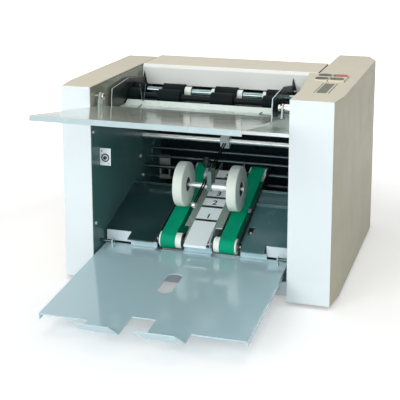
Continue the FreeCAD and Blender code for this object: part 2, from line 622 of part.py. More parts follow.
WING_Y = 78
DECK = [(60, belt_z(60) - 3), (250, belt_z(250) - 3), (250, belt_z(250) - 5), (60, belt_z(60) - 5)]
WING = [(WING_Y, belt_z(WING_Y) - 3), DECK[1], DECK[2], (WING_Y, belt_z(WING_Y) - 5)]
deck_bits = [profile("deck_plate", "YZ", DECK, "44", "-27")]
deck_bits.append(profile("left_wing", "YZ", WING, "12", "-39"))
deck_bits.append(profile("right_wing", "YZ", WING, "14", "17"))
SIDE = [
    (44, 64.3), (44, 78), (62, belt_z(62) - 3), (278, belt_z(278) - 3), (278, 131), (206, 114), (67, 66),
    (67, 46), (60, 46), (60, 62.3), (57, 64.3),
]
for number, start in enumerate(("-29", "17", "{belt_x_l} - 20.5", "{belt_x_r} + 19")):
    deck_bits.append(profile("deck_side_%d" % number, "YZ", SIDE, "2", start))
DECK_W = "{belt_x_r} - {belt_x_l} + 39"
deck_bits.append(box("deck_tie", (DECK_W, "6", "6"), ("{belt_x_l} - 19.5", "150", "102")))
deck_bits.append(box("deck_foot", (DECK_W, "6", "4"), ("{belt_x_l} - 19.5", "60.5", "46")))
deck_solid = join("deck_solid", *deck_bits)
deck_bores = [
    rod("deck_bore_front", "4 + {fit}", "200", ("-100", "{front_py}", "{front_pz}")),
    rod("deck_bore_rear", "4 + {fit}", "200", ("-100", "{rear_py}", "{rear_pz}")),
]
parts["conveyor_deck"] = cut("conveyor_deck_cut", deck_solid, *deck_bores)
STRIP = [
    (27.2, 69), (28, 69), (28, 72.6), (60, belt_z(60) - 3), (250, belt_z(250) - 3),
    (250, belt_z(250) - 2.2), (60, belt_z(60) - 2.2), (27.2, 73.4),
]
STRIP_X = "-25.5"
STRIP_W = "41.5"
MARK = 5.5
parts["number_strip"] = profile("strip_sheet", "YZ", STRIP, STRIP_W, STRIP_X)
marks = []
for mark_y in (92, 132, 160, 189, 220):
    low = belt_z(mark_y) - 2.2
    high = belt_z(mark_y + MARK) - 2.2
    mark = [(mark_y, low), (mark_y + MARK, high), (mark_y + MARK, high + 0.3), (mark_y, low + 0.3)]
    marks.append(profile("mark_%d" % mark_y, "YZ", mark, STRIP_W, STRIP_X))
parts["strip_marks"] = group("strip_mark_set", *marks)


def belt_loop(name, centre_x):
    """Flat belt round the two pulleys: a hollow obround standing on its edge."""
    span_y = SIZE["rear_py"] - SIZE["front_py"]
    span_z = SIZE["rear_pz"] - SIZE["front_pz"]
    reach = math.hypot(span_y, span_z)
    pitch = math.degrees(math.atan2(span_z, span_y))
    start = centre_x + " - {belt_w} / 2"
    layers = []
    for tag, radius in (("outer", "{pulley_r} + {belt_t}"), ("inner", "{pulley_r} + {fit}")):
        slab = box(name + "_slab_" + tag, ("{belt_w}", reach, "2 * (" + radius + ")"), (start, "0", "0"))
        turn = FreeCAD.Rotation(Vector(1, 0, 0), pitch)
        slab.Placement = FreeCAD.Placement(Vector(), turn)
        lean = math.radians(pitch)
        place(slab, start, "{front_py} + %.6f * (%s)" % (math.sin(lean), radius),
              "{front_pz} - %.6f * (%s)" % (math.cos(lean), radius))
        near = rod(name + "_near_" + tag, radius, "{belt_w}", (start, "{front_py}", "{front_pz}"))
        far = rod(name + "_far_" + tag, radius, "{belt_w}", (start, "{rear_py}", "{rear_pz}"))
        layers.append(join(name + "_" + tag, slab, near, far))
    return cut(name, layers[0], layers[1])


parts["left_delivery_belt"] = belt_loop("left_belt", "{belt_x_l}")
parts["right_delivery_belt"] = belt_loop("right_belt", "{belt_x_r}")


HUB_EDGE = 3


def hub_pair(name, inner, y, z, reach):
    """Hub of each belt: a short edge outside the belt, a reach inside it."""
    width = "{belt_w} + %s" % (HUB_EDGE + reach)
    left_at = ("{belt_x_l} - {belt_w} / 2 - %s" % HUB_EDGE, y, z)
    right_at = ("{belt_x_r} - {belt_w} / 2 - %s" % reach, y, z)
    left = ring(name + "_hub_left", "{pulley_r}", inner, width, left_at)
    right = ring(name + "_hub_right", "{pulley_r}", inner, width, right_at)
    return [left, right]


FRONT_AXIS = ("{front_py}", "{front_pz}")
REAR_AXIS = ("{rear_py}", "{rear_pz}")
front_at = ("{belt_x_l} - 23",) + FRONT_AXIS
parts["front_belt_shaft"] = rod("front_belt_rod", "4", "{belt_x_r} - {belt_x_l} + 46", front_at)
parts["front_belt_pulleys"] = group("front_belt_pair", *hub_pair("front_belt", "4", *FRONT_AXIS, 11))
rear_rod = rod("rear_belt_rod", "4", IN_W + " + 40", ("{left_in} - 3",) + REAR_AXIS)
rear_hubs = hub_pair("rear_belt", "3.9", *REAR_AXIS, HUB_EDGE)
parts["rear_belt_rollers"] = join("rear_belt_all", rear_rod, *rear_hubs)

# ---- stacker --------------------------------------------------------------------------------
parts["stacker_shaft"] = rod("stacker_rod", "5", IN_W, ("{left_in}", "{arm_y}", "{arm_z}"))
# The arm is drawn flat about the shaft, then pitched with its guide rods.
ARM_PITCH = SIZE["belt_slope"]
arm_at = ("0", "{arm_y}", "{arm_z}")
arm_turn = FreeCAD.Rotation(Vector(1, 0, 0), ARM_PITCH)


def on_arm(shape, along, across, up):
    """Place a shape by its distances along the arm from the stacker shaft."""
    lean = math.radians(ARM_PITCH)
    shape.Placement = FreeCAD.Placement(Vector(), arm_turn.multiply(shape.Placement.Rotation))
    y = -along * math.cos(lean) - up * math.sin(lean)
    z = -along * math.sin(lean) + up * math.cos(lean)
    place(shape, "{arm_x} + %s" % across, "{arm_y} + %.4f" % y, "{arm_z} + %.4f" % z)
    return shape


clamp = on_arm(box("clamp_block", ("18", "20", "22"), ("0", "0", "0")), 10, "-9", -11)
clamp_bore = rod("clamp_bore", "5 + {fit}", "60", ("{arm_x} - 30", "{arm_y}", "{arm_z}"))
parts["arm_clamp"] = cut("arm_clamp_cut", clamp, clamp_bore)
RAIL_END = 214
RAIL_R = "1.5"
RAIL_OUT = 2.2
rails = []
for across in (-RAIL_OUT, RAIL_OUT):
    rail = rod("arm_rail_%d" % len(rails), RAIL_R, RAIL_END - 10, ("0", "0", "0"), "y")
    rails.append(on_arm(rail, RAIL_END, across, 0))
rail_tip = on_arm(rod("arm_tip", "5.5", "5", ("0", "0", "0"), "y"), RAIL_END + 5, 0, 0)
parts["arm_rails"] = join("arm_rail_pair", *rails, rail_tip)
SEAT = 122.0
slider = on_arm(box("slider_block", ("14", "14", "11"), ("0", "0", "0")), SEAT + 7, "-7", -5)
slider_bores = []
for across in (-RAIL_OUT, RAIL_OUT):
    bore = rod("slider_bore_%d" % len(slider_bores), RAIL_R + " + {fit}", "40", ("0", "0", "0"), "y")
    slider_bores.append(on_arm(bore, SEAT + 20, across, 0))
knob_post = on_arm(rod("knob_post", "3.5", "18", ("0", "0", "0"), "z"), SEAT, 0, 3)
knob_stud = on_arm(rod("knob_stud", "2.5", "24", ("0", "0", "0"), "z"), SEAT, 0, 3)
hanger_at = ("{arm_x} + 4.5", "{wheel_y} - 7.5", "{wheel_z} - 8")
hanger = box("hanger_plate", ("8", "24", "38"), hanger_at)
AXLE_X = "{wheel_x_l} + {wheel_w} / 2 + 0.5"
AXLE_W = "{wheel_x_r} - {wheel_x_l} - {wheel_w} - 1"
axle = rod("axle_tube", "{axle_r}", AXLE_W, (AXLE_X, "{wheel_y}", "{wheel_z}"))
sleeve_at = ("{arm_x} + 13", "{wheel_y}", "{wheel_z}")
sleeve = rod("axle_sleeve", "{axle_r} + 2.5", "{wheel_x_r} - {wheel_w} / 2 - 16.5 - {arm_x}", sleeve_at)
axle_pin = rod("axle_pin", "3", "{wheel_x_r} - {wheel_x_l} + {wheel_w} + 8",
               ("{wheel_x_l} - {wheel_w} / 2 - 4", "{wheel_y}", "{wheel_z}"))
axle_bore = rod("axle_bore", "{axle_r}", "40", ("{arm_x} - 20", "{wheel_y}", "{wheel_z}"))
carriage = join("carriage_block", slider, hanger, knob_post, knob_stud)
parts["wheel_carriage"] = cut("carriage_cut", carriage, axle_bore, *slider_bores)
parts["wheel_axle"] = join("wheel_axle_all", axle, sleeve, axle_pin)
knob = on_arm(rod("knob_body", "{knob_r}", "17", ("0", "0", "0"), "z"), SEAT, 0, 21.4)
knob_bore = on_arm(rod("knob_bore", "2.5 + {fit}", "7", ("0", "0", "0"), "z"), SEAT, 0, 21)
parts["clamp_knob"] = cut("clamp_knob_cut", knob, knob_bore)
WHEELS = (("left_stacker_wheel", "{wheel_x_l}"), ("right_stacker_wheel", "{wheel_x_r}"))
for name, centre_x in WHEELS:
    at = (centre_x + " - {wheel_w} / 2", "{wheel_y}", "{wheel_z}")
    tyre = ring(name + "_disc", "{wheel_r}", "3 + {fit}", "{wheel_w}", at)
    recess_at = (centre_x + " + {wheel_w} / 2 - 5", "{wheel_y}", "{wheel_z}")
    parts[name] = cut(name + "_cut", tyre, rod(name + "_recess", "11", "5", recess_at))

# ---- bars, catches and screws ---------------------------------------------------------------
bar_low = rod("bar_low", "3", IN_W, ("{left_in}", "296", "112"))
bar_collar = rod("bar_low_collar", "6", "14", ("40", "296", "112"))
bars = [
    join("bar_low_all", bar_low, bar_collar),
    rod("guide_bar", BAR_R, IN_W, ("{left_in}", BAR_Y, BAR_Z)),
    rod("bar_mid", "3", IN_W, ("{left_in}", "290", "157")),
    rod("bar_high", "3", IN_W, ("{left_in}", "300", "172")),
]
parts["cross_bars"] = group("cross_bar_set", *bars)
# The lower fold plate leans back to the rear cover, and its gap keeps the same lean.
LOWER_RUN = "({body_d} - 387)"
GAP_RUN = "87.2 / 88 * " + LOWER_RUN
LOWER = [(318, -34), (330, -34), ("330 + " + LOWER_RUN, -256), ("318 + " + LOWER_RUN, -256)]
LOWER_GAP = [(316.9, -24), (324.5, -24), ("324.5 + " + GAP_RUN, -244), ("316.9 + " + GAP_RUN, -244)]
lower_plate = profile("lower_plate", "YZ", LOWER, IN_W, "{left_in}", on_shelf)
lower_gap = profile("lower_gap", "YZ", LOWER_GAP, IN_W + " - 20", "{left_in} + 10", on_shelf)
parts["lower_fold_plate"] = cut("lower_fold_plate_cut", lower_plate, lower_gap)
latch = box("latch_plate", ("2", "30", "37"), ("{left_in}", "38", "194"))
latch_boss = ring("latch_boss", "9", "5", "3", ("{left_in} + 2", "53", "212"))
latch_core = rod("latch_core", "3.5", "3.5", ("{left_in} + 2", "53", "212"))
parts["latch_plate"] = join("latch_plate_all", latch, latch_boss, latch_core)
screws = []
for screw_y, screw_z in ((10.4, SHELF + " - 24.6"), (13.3, 101.6), (240, 168), (255, 125)):
    screws.append(rod("screw_%d" % len(screws), "3.5", "3", ("{left_in}", screw_y, screw_z)))
parts["wall_screws"] = group("wall_screw_set", *screws)

# ---- drive ----------------------------------------------------------------------------------
motor_can = rod("motor_can", "30", PANEL_W + " - 21.4", ("{right_in} + {sheet}", "120", "60"))
motor_flange = box("motor_flange", ("3", "70", "70"), ("{right_in} + {sheet}", "85", "25"))
parts["drive_motor"] = join("drive_motor_all", motor_can, motor_flange)

# ---- write ----------------------------------------------------------------------------------
doc.recompute()
os.makedirs("parts", exist_ok=True)
faulty = []
for item in doc.Objects:
    if "Invalid" in item.State or "Error" in item.State:
        faulty.append(item.Name)
for node, item in parts.items():
    item.Label = node
    if not item.Shape.isValid() or item.Shape.Volume <= 0:
        faulty.append(node)
if faulty:
    raise RuntimeError("faulty shapes: " + ", ".join(faulty))
for node, item in parts.items():
    item.Shape.exportStep(os.path.join("parts", node + ".step"))
print(len(parts), "parts written")
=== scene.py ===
import json
import math

import bmesh
import bpy
from mathutils import Matrix, Vector

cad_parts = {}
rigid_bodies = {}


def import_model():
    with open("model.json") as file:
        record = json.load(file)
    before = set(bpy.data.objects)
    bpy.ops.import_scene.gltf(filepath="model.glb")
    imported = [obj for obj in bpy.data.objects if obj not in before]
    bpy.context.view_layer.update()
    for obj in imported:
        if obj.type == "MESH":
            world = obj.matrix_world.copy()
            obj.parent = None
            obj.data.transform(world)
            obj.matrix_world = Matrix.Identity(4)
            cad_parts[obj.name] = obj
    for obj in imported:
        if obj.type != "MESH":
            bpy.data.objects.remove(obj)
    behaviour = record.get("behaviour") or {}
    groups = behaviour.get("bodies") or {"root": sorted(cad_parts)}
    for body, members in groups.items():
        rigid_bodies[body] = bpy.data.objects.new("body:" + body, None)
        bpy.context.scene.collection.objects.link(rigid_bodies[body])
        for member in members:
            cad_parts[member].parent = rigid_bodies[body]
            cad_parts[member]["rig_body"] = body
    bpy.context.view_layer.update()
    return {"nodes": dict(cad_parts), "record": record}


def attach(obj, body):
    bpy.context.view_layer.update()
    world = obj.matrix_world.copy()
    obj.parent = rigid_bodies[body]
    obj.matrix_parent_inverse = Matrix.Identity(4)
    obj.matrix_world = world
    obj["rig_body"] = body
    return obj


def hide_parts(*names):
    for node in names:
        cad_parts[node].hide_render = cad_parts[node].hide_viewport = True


# Paper folding machine. Lengths are typed in millimetres from the middle of the covers (x), their
# front face (y) and their underside (z), and turned into metres of the shared frame by spot().
# Lengths inside node trees are in metres.
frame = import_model()
nodes = frame["nodes"]
SLOTS = {part["node"]: part["material_slot"] for part in frame["record"]["subparts"]}
MM = 0.001
FRONT_Y = -105.1
FOOT_H = 6.0


def spot(x, y, z):
    return Vector((x * MM, (y + FRONT_Y) * MM, (z + FOOT_H) * MM))


def srgb(red, green, blue):
    """Colour as seen on a screen, 0 to 255, turned into a linear node colour."""
    out = []
    for value in (red, green, blue):
        share = value / 255
        out.append(share / 12.92 if share <= 0.04045 else ((share + 0.055) / 1.055) ** 2.4)
    return (*out, 1.0)


# ---- shader groups shared by the finishes ---------------------------------------------------
COLOUR, NUMBER, VECTOR = "NodeSocketColor", "NodeSocketFloat", "NodeSocketVector"
SURFACE = [("Colour", COLOUR), ("Roughness", NUMBER), ("Height", NUMBER)]
# Sockets of a Mix node in colour mode: factor, first and second colour, and the result.
MIX_IN = (0, 6, 7)
MIX_OUT = 2
# Noise values between which a patch fades in, and between which most of a noise lies.
CLOUD = (0.35, 0.7)
MIDDLE = (0.3, 0.7)
WEAR_AND_HIGHLIGHT_GAPS = (0.42, 0.62)
# Cosine between the rounded and the true normal, off an edge and on it.
EDGE_COSINE = (0.98, 0.75)


def new_group(name, inputs, outputs):
    group = bpy.data.node_groups.new(name, "ShaderNodeTree")
    for label, kind, value in inputs:
        socket = group.interface.new_socket(label, in_out="INPUT", socket_type=kind)
        socket.default_value = value
    for label, kind in outputs:
        group.interface.new_socket(label, in_out="OUTPUT", socket_type=kind)
    return group, group.nodes.new("NodeGroupInput"), group.nodes.new("NodeGroupOutput")


def feed(tree, source, socket):
    """Link a source to a socket, or set the socket's value where the source is a plain one."""
    if hasattr(source, "is_linked"):
        tree.links.new(source, socket)
    else:
        socket.default_value = source


def give(tree, result, *sources):
    """Link the outputs of a group in their order."""
    for source, socket in zip(sources, result.inputs):
        tree.links.new(source, socket)


def object_coords(tree):
    return tree.nodes.new("ShaderNodeTexCoord").outputs["Object"]


def noise_node(tree, coords, scale, detail):
    node = tree.nodes.new("ShaderNodeTexNoise")
    node.inputs["Detail"].default_value = detail
    tree.links.new(coords, node.inputs["Vector"])
    feed(tree, scale, node.inputs["Scale"])
    return node.outputs["Fac"]


def spread(tree, value, low, high, to_low, to_high):
    """Carry a value from one range over to another."""
    node = tree.nodes.new("ShaderNodeMapRange")
    for source, socket in zip((value, low, high, to_low, to_high), node.inputs):
        feed(tree, source, socket)
    return node.outputs[0]


def blend_colour(tree, factor, first, second):
    node = tree.nodes.new("ShaderNodeMix")
    node.data_type = "RGBA"
    for source, number in zip((factor, first, second), MIX_IN):
        feed(tree, source, node.inputs[number])
    return node.outputs[MIX_OUT]


def maths(tree, operation, first, second):
    node = tree.nodes.new("ShaderNodeMath")
    node.operation = operation
    feed(tree, first, node.inputs[0])
    feed(tree, second, node.inputs[1])
    return node.outputs[0]


def make_handling():
    """Slight tone patches, finger smudges in the gloss and a fine grain in the height."""
    group, given, result = new_group("handling", [
        ("Colour", COLOUR, (1, 1, 1, 1)),
        ("Patch Colour", COLOUR, (0.8, 0.8, 0.8, 1)),
        ("Patch Size", NUMBER, 9.0),
        ("Patch Amount", NUMBER, 0.3),
        ("Grain Scale", NUMBER, 900.0),
        ("Rough Low", NUMBER, 0.3),
        ("Rough High", NUMBER, 0.45),
    ], SURFACE)
    coords = object_coords(group)
    patches = noise_node(group, coords, given.outputs["Patch Size"], 5.0)
    mask = spread(group, patches, *CLOUD, 0.0, 1.0)
    amount = maths(group, "MULTIPLY", mask, given.outputs["Patch Amount"])
    colour = blend_colour(group, amount, given.outputs["Colour"], given.outputs["Patch Colour"])
    smudge = noise_node(group, coords, 34.0, 3.0)
    ends = given.outputs["Rough Low"], given.outputs["Rough High"]
    rough = spread(group, smudge, *MIDDLE, *ends)
    grain = noise_node(group, coords, given.outputs["Grain Scale"], 2.0)
    give(group, result, colour, rough, grain)
    return group


def make_edge_wear_and_highlight():
    """Paint or plating rubbed thin along the edges; on the roller brackets the same pale edge is a
    painted highlight.
    """
    group, given, result = new_group("edge_wear_and_highlight", [
        ("Colour", COLOUR, (1, 1, 1, 1)),
        ("Wear And Highlight Colour", COLOUR, (1, 1, 1, 1)),
        ("Amount", NUMBER, 0.5),
        ("Width", NUMBER, 0.0012),
    ], [("Colour", COLOUR), ("Mask", NUMBER)])
    rounded = group.nodes.new("ShaderNodeBevel")
    rounded.samples = 4
    group.links.new(given.outputs["Width"], rounded.inputs["Radius"])
    surface = group.nodes.new("ShaderNodeNewGeometry")
    product = group.nodes.new("ShaderNodeVectorMath")
    product.operation = "DOT_PRODUCT"
    group.links.new(rounded.outputs["Normal"], product.inputs[0])
    group.links.new(surface.outputs["Normal"], product.inputs[1])
    edge = spread(group, product.outputs["Value"], *EDGE_COSINE, 0.0, 1.0)
    patches = noise_node(group, object_coords(group), 160.0, 4.0)
    broken = spread(group, patches, *WEAR_AND_HIGHLIGHT_GAPS, 0.2, 1.0)
    worn_and_lit = maths(group, "MULTIPLY", edge, broken)
    mask = maths(group, "MULTIPLY", worn_and_lit, given.outputs["Amount"])
    colour = blend_colour(group, mask, given.outputs["Colour"], given.outputs["Wear And Highlight Colour"])
    give(group, result, colour, mask)
    return group


def make_drawn_lines():
    """Fine lines left by grinding or rolling, running along one axis."""
    group, given, result = new_group("drawn_lines", [
        ("Colour", COLOUR, (0.8, 0.8, 0.8, 1)),
        ("Dark Colour", COLOUR, (0.5, 0.5, 0.5, 1)),
        ("Stretch", VECTOR, (0.05, 1.0, 1.0)),
        ("Scale", NUMBER, 1400.0),
        ("Rough Low", NUMBER, 0.16),
        ("Rough High", NUMBER, 0.34),
    ], SURFACE)
    coords = object_coords(group)
    mapping = group.nodes.new("ShaderNodeMapping")
    group.links.new(coords, mapping.inputs["Vector"])
    group.links.new(given.outputs["Stretch"], mapping.inputs["Scale"])
    lines = noise_node(group, mapping.outputs["Vector"], given.outputs["Scale"], 3.0)
    cloud = spread(group, noise_node(group, coords, 40.0, 3.0), *CLOUD, 0.0, 1.0)
    mix = maths(group, "MULTIPLY", cloud, lines)
    colour = blend_colour(group, mix, given.outputs["Colour"], given.outputs["Dark Colour"])
    ends = given.outputs["Rough Low"], given.outputs["Rough High"]
    rough = spread(group, lines, *MIDDLE, *ends)
    give(group, result, colour, rough, lines)
    return group


HANDLING = make_handling()
EDGE_WEAR_AND_HIGHLIGHT = make_edge_wear_and_highlight()
DRAWN_LINES = make_drawn_lines()

# ---- finishes -------------------------------------------------------------------------------
COAT_ROUGHNESS = 0.08
PAINT_GRAIN = 0.0004
METAL_GRAIN = 0.0002
WEAVE_DEPTH = 0.0003
PALE_EDGE = (235, 238, 238)
ALONG_X = (0.05, 1, 1)
ALONG_Y = (1, 0.08, 1)


def use_group(tree, group, values):
    node = tree.nodes.new("ShaderNodeGroup")
    node.node_tree = group
    for label, value in values.items():
        feed(tree, value, node.inputs[label])
    return node


def start_material(name, **settings):
    material = bpy.data.materials.new(name)
    material.use_nodes = True
    shader = material.node_tree.nodes["Principled BSDF"]
    for label, value in settings.items():
        shader.inputs[label.replace("_", " ")].default_value = value
    return material, material.node_tree, shader


def add_bump(tree, shader, height, strength, distance):
    bump = tree.nodes.new("ShaderNodeBump")
    bump.inputs["Strength"].default_value = strength
    bump.inputs["Distance"].default_value = distance
    tree.links.new(height, bump.inputs["Height"])
    tree.links.new(bump.outputs["Normal"], shader.inputs["Normal"])


def wear_skin(tree, shader, colour, source):
    """Carry a colour, and the roughness of a group, to the shader."""
    tree.links.new(colour, shader.inputs["Base Color"])
    tree.links.new(source.outputs["Roughness"], shader.inputs["Roughness"])


def painted(name, colour, patch, rough, grain, bump,
            wear_and_highlight=0.35, wear_and_highlight_colour=PALE_EDGE, coat=0.0, patches=0.35, shine=0.5):
    """Powder coat, lacquer, moulding or rubber: tone patches, smudges, grain, rubbed edges, which
    on the roller brackets are a painted highlight.
    """
    material, tree, shader = start_material(
        name, Specular_IOR_Level=shine, Coat_Weight=coat, Coat_Roughness=COAT_ROUGHNESS
    )
    hand = use_group(tree, HANDLING, {
        "Colour": srgb(*colour), "Patch Colour": srgb(*patch), "Patch Amount": patches,
        "Grain Scale": grain, "Rough Low": rough[0], "Rough High": rough[1],
    })
    skin = hand.outputs["Colour"]
    if wear_and_highlight > 0:
        edge = use_group(tree, EDGE_WEAR_AND_HIGHLIGHT, {
            "Colour": skin, "Wear And Highlight Colour": srgb(*wear_and_highlight_colour), "Amount": wear_and_highlight,
        })
        skin = edge.outputs["Colour"]
    wear_skin(tree, shader, skin, hand)
    add_bump(tree, shader, hand.outputs["Height"], bump, PAINT_GRAIN)
    return material


def bare_metal(name, colour, dark, rough, stretch=ALONG_X, bump=0.08):
    """Ground or rolled metal; its fine lines run along the axis that stretch squeezes."""
    material, tree, shader = start_material(name, Metallic=1.0)
    lines = use_group(tree, DRAWN_LINES, {
        "Colour": srgb(*colour), "Dark Colour": srgb(*dark), "Stretch": stretch,
        "Rough Low": rough[0], "Rough High": rough[1],
    })
    wear_skin(tree, shader, lines.outputs["Colour"], lines)
    add_bump(tree, shader, lines.outputs["Height"], bump, METAL_GRAIN)
    return material


# Screen colour, colour of its patches, range of roughness, scale of the grain, bump.
# Front faces of the covers: a cooler, paler copy of the cover paint, as painted light.
COVER_FRONT_LIT = painted(
    "fascia_painted_light_coat", (226, 237, 241), (220, 232, 237), (0.4, 0.52), 1100, 0.1
)
COVER_BODY = painted("cover_powder_coat", (228, 221, 199), (223, 215, 192), (0.45, 0.6), 1100, 0.12)
# Upper wall lining: the beige cover paint darkened to khaki, as painted shade.
LINING_SHADE = painted(
    "upper_lining_painted_shade", (150, 152, 134), (142, 144, 126), (0.12, 0.24), 700, 0.05, coat=0.3
)
# Right faces of the covers: a darker copy of the cover paint, as painted shade.
COVER_SIDE_SHADE = painted(
    "cover_side_painted_shade", (199, 197, 174), (194, 192, 168), (0.45, 0.6), 1100, 0.12, shine=0.3
)
TOP_PAINT = painted("top_cover_paint", (234, 227, 204), (228, 220, 196), (0.35, 0.5), 1100, 0.1)
# Front face of the top cover: a whiter copy of its paint, as painted light.
FACE_LIT_PAINT = painted(
    "top_cover_face_painted_light", (243, 246, 242), (237, 240, 236), (0.3, 0.42), 1100, 0.1
)
LACQUER = painted(
    "blue_grey_lacquer", (186, 217, 226), (178, 209, 218), (0.07, 0.14), 600, 0.03, coat=0.5,
    patches=0.25
)
# Lid top: the blue-grey lacquer tinted olive, as a painted reflection of the khaki walls it
# mirrors.
LID_REFLECTION_LACQUER = painted(
    "lid_lacquer_painted_reflection", (196, 204, 190), (188, 197, 182), (0.1, 0.17), 500, 0.02, coat=0.5, patches=0.2,
    shine=0.4
)
LIP_LACQUER = painted(
    "lip_lacquer", (174, 195, 199), (168, 189, 194), (0.2, 0.3), 600, 0.03, coat=0.2, patches=0.2
)
# Front lip of the shelf: near white, as painted highlight.
SHELF_LIP_HIGHLIGHT = painted(
    "shelf_lip_painted_highlight", (244, 250, 251), (236, 244, 246), (0.2, 0.3), 600, 0.03, coat=0.2,
    patches=0.2
)
# Shelf top and rear fold: the blue-grey lacquer made pale khaki, as a painted reflection of the
# walls it mirrors.
SHELF_REFLECTION_LACQUER = painted(
    "shelf_lacquer_painted_reflection", (204, 220, 212), (194, 210, 201), (0.2, 0.32), 500, 0.03, coat=0.3, patches=0.2
)
PALE_LACQUER = painted(
    "pale_lacquer", (216, 230, 236), (206, 222, 228), (0.16, 0.28), 600, 0.05, coat=0.3, patches=0.3
)
# Inner frames and wall disc: the blue-grey lacquer darkened, as painted shade of the bay.
FRAME_SHADE_PAINT = painted(
    "inner_frame_painted_shade", (78, 119, 121), (73, 113, 115), (0.3, 0.4), 700, 0.04, coat=0.1,
    patches=0.15
)
# Roller brackets: near black as painted shade, their edges made pale as painted highlight; the
# cover catches share it.
BRACKET_SHADE_PAINT = painted(
    "bracket_painted_shade", (30, 41, 36), (42, 51, 43), (0.25, 0.38), 700, 0.06, wear_and_highlight=0.9,
    wear_and_highlight_colour=(214, 220, 218)
)
# Fold plates and separator pad: dark paint deepened to near black, partly as painted shade of the
# bay.
DARK_SHADE_PLATE = painted(
    "dark_plate_paint_and_shade", (22, 38, 44), (28, 44, 50), (0.25, 0.4), 600, 0.06, wear_and_highlight=0.2
)
# Chute floors: darker copies of the blue-grey lacquer, as painted shade and painted dark
# reflection, the left one deeper.
FLOOR_SHADE_PAINT = painted(
    "chute_shade_paint", (34, 62, 64), (44, 60, 56), (0.08, 0.18), 500, 0.03, coat=0.4, patches=0.3
)
RIGHT_FLOOR_SHADE_PAINT = painted(
    "right_chute_shade_paint", (74, 114, 120), (68, 106, 112), (0.16, 0.28), 600, 0.05, coat=0.3,
    patches=0.3
)
CHUTE_SIDE = painted(
    "conveyor_side_paint", (136, 152, 145), (126, 142, 135), (0.2, 0.32), 900, 0.08
)
PALE_SIDE = painted("conveyor_wing_paint", (190, 212, 212), (180, 204, 204), (0.2, 0.32), 900, 0.08)
CARRIAGE_PAINT = painted("carriage_paint", (104, 126, 124), (96, 118, 116), (0.3, 0.45), 700, 0.08)
RAIL_PAINT = painted("chute_rail_enamel", (206, 224, 226), (196, 214, 216), (0.2, 0.32), 700, 0.05)
LATCH_PAINT = painted("latch_enamel", (240, 249, 251), (230, 241, 244), (0.25, 0.36), 700, 0.05)
STEEL = bare_metal("ground_steel", (226, 226, 224), (176, 176, 174), (0.14, 0.26))
# Steels of rods, pins, wires and rollers are darkened as painted shade: their dark colours stand
# for the dim surroundings they mirror.
DULL_SHADE_STEEL = bare_metal("dull_steel_painted_shade", (96, 112, 114), (66, 78, 80), (0.24, 0.4))
DARK_STEEL = bare_metal("roller_steel_painted_shade", (64, 80, 80), (40, 52, 52), (0.16, 0.28))
# Rear roller core: dark steel, as a painted dark reflection.
SHAFT_STEEL = bare_metal(
    "roller_shaft_steel_painted_reflection", (128, 146, 146), (84, 100, 100), (0.06, 0.12), bump=0.03
)
# Front roller core: near black, as painted shade under the top cover.
SHAFT_BLACK = painted(
    "shaft_painted_shade", (8, 16, 18), (14, 22, 24), (0.3, 0.4), 700, 0.05, wear_and_highlight=0, shine=0.12
)
TUBE_STEEL = bare_metal("satin_axle_tube", (246, 250, 249), (220, 228, 227), (0.4, 0.55))
ZINC = bare_metal("zinc_plate", (205, 207, 208), (150, 154, 158), (0.24, 0.4), ALONG_Y)
RUBBER = painted(
    "roller_rubber", (10, 20, 22), (16, 26, 28), (0.6, 0.8), 700, 0.3, wear_and_highlight=0.1, wear_and_highlight_colour=(34, 42, 42),
    shine=0.12
)
BLACK_PLASTIC = painted(
    "black_moulding", (30, 31, 32), (40, 41, 42), (0.35, 0.5), 900, 0.2, wear_and_highlight=0.3,
    wear_and_highlight_colour=(90, 90, 90)
)
KNOB_BLACK = painted(
    "knob_moulding", (12, 16, 18), (20, 24, 26), (0.12, 0.2), 900, 0.05, wear_and_highlight=0.1,
    wear_and_highlight_colour=(60, 64, 66), coat=0.3
)
HUB = painted("wheel_moulding", (238, 247, 240), (228, 238, 229), (0.4, 0.55), 700, 0.1, wear_and_highlight=0.2)
MOTOR_PAINT = painted("motor_paint", (120, 122, 124), (104, 106, 108), (0.35, 0.5), 600, 0.2)
BOARD = painted("board_lacquer", (56, 118, 74), (46, 104, 66), (0.25, 0.4), 600, 0.1, wear_and_highlight=0)
LABEL = painted(
    "strip_stock", (240, 251, 255), (232, 244, 250), (0.3, 0.45), 900, 0.04, wear_and_highlight=0, patches=0.3
)
PRINT = painted("strip_print", (24, 26, 34), (32, 34, 42), (0.4, 0.5), 900, 0.04, wear_and_highlight=0)
KEY_DARK = painted("dark_key_plastic", (62, 66, 56), (72, 76, 64), (0.35, 0.45), 900, 0.08, wear_and_highlight=0.2)
KEY_RED = painted("red_key_plastic", (206, 62, 66), (190, 52, 56), (0.3, 0.4), 900, 0.08, wear_and_highlight=0.2)
KEY_GREEN = painted(
    "green_key_plastic", (20, 110, 72), (16, 98, 62), (0.3, 0.4), 900, 0.08, wear_and_highlight=0.2
)


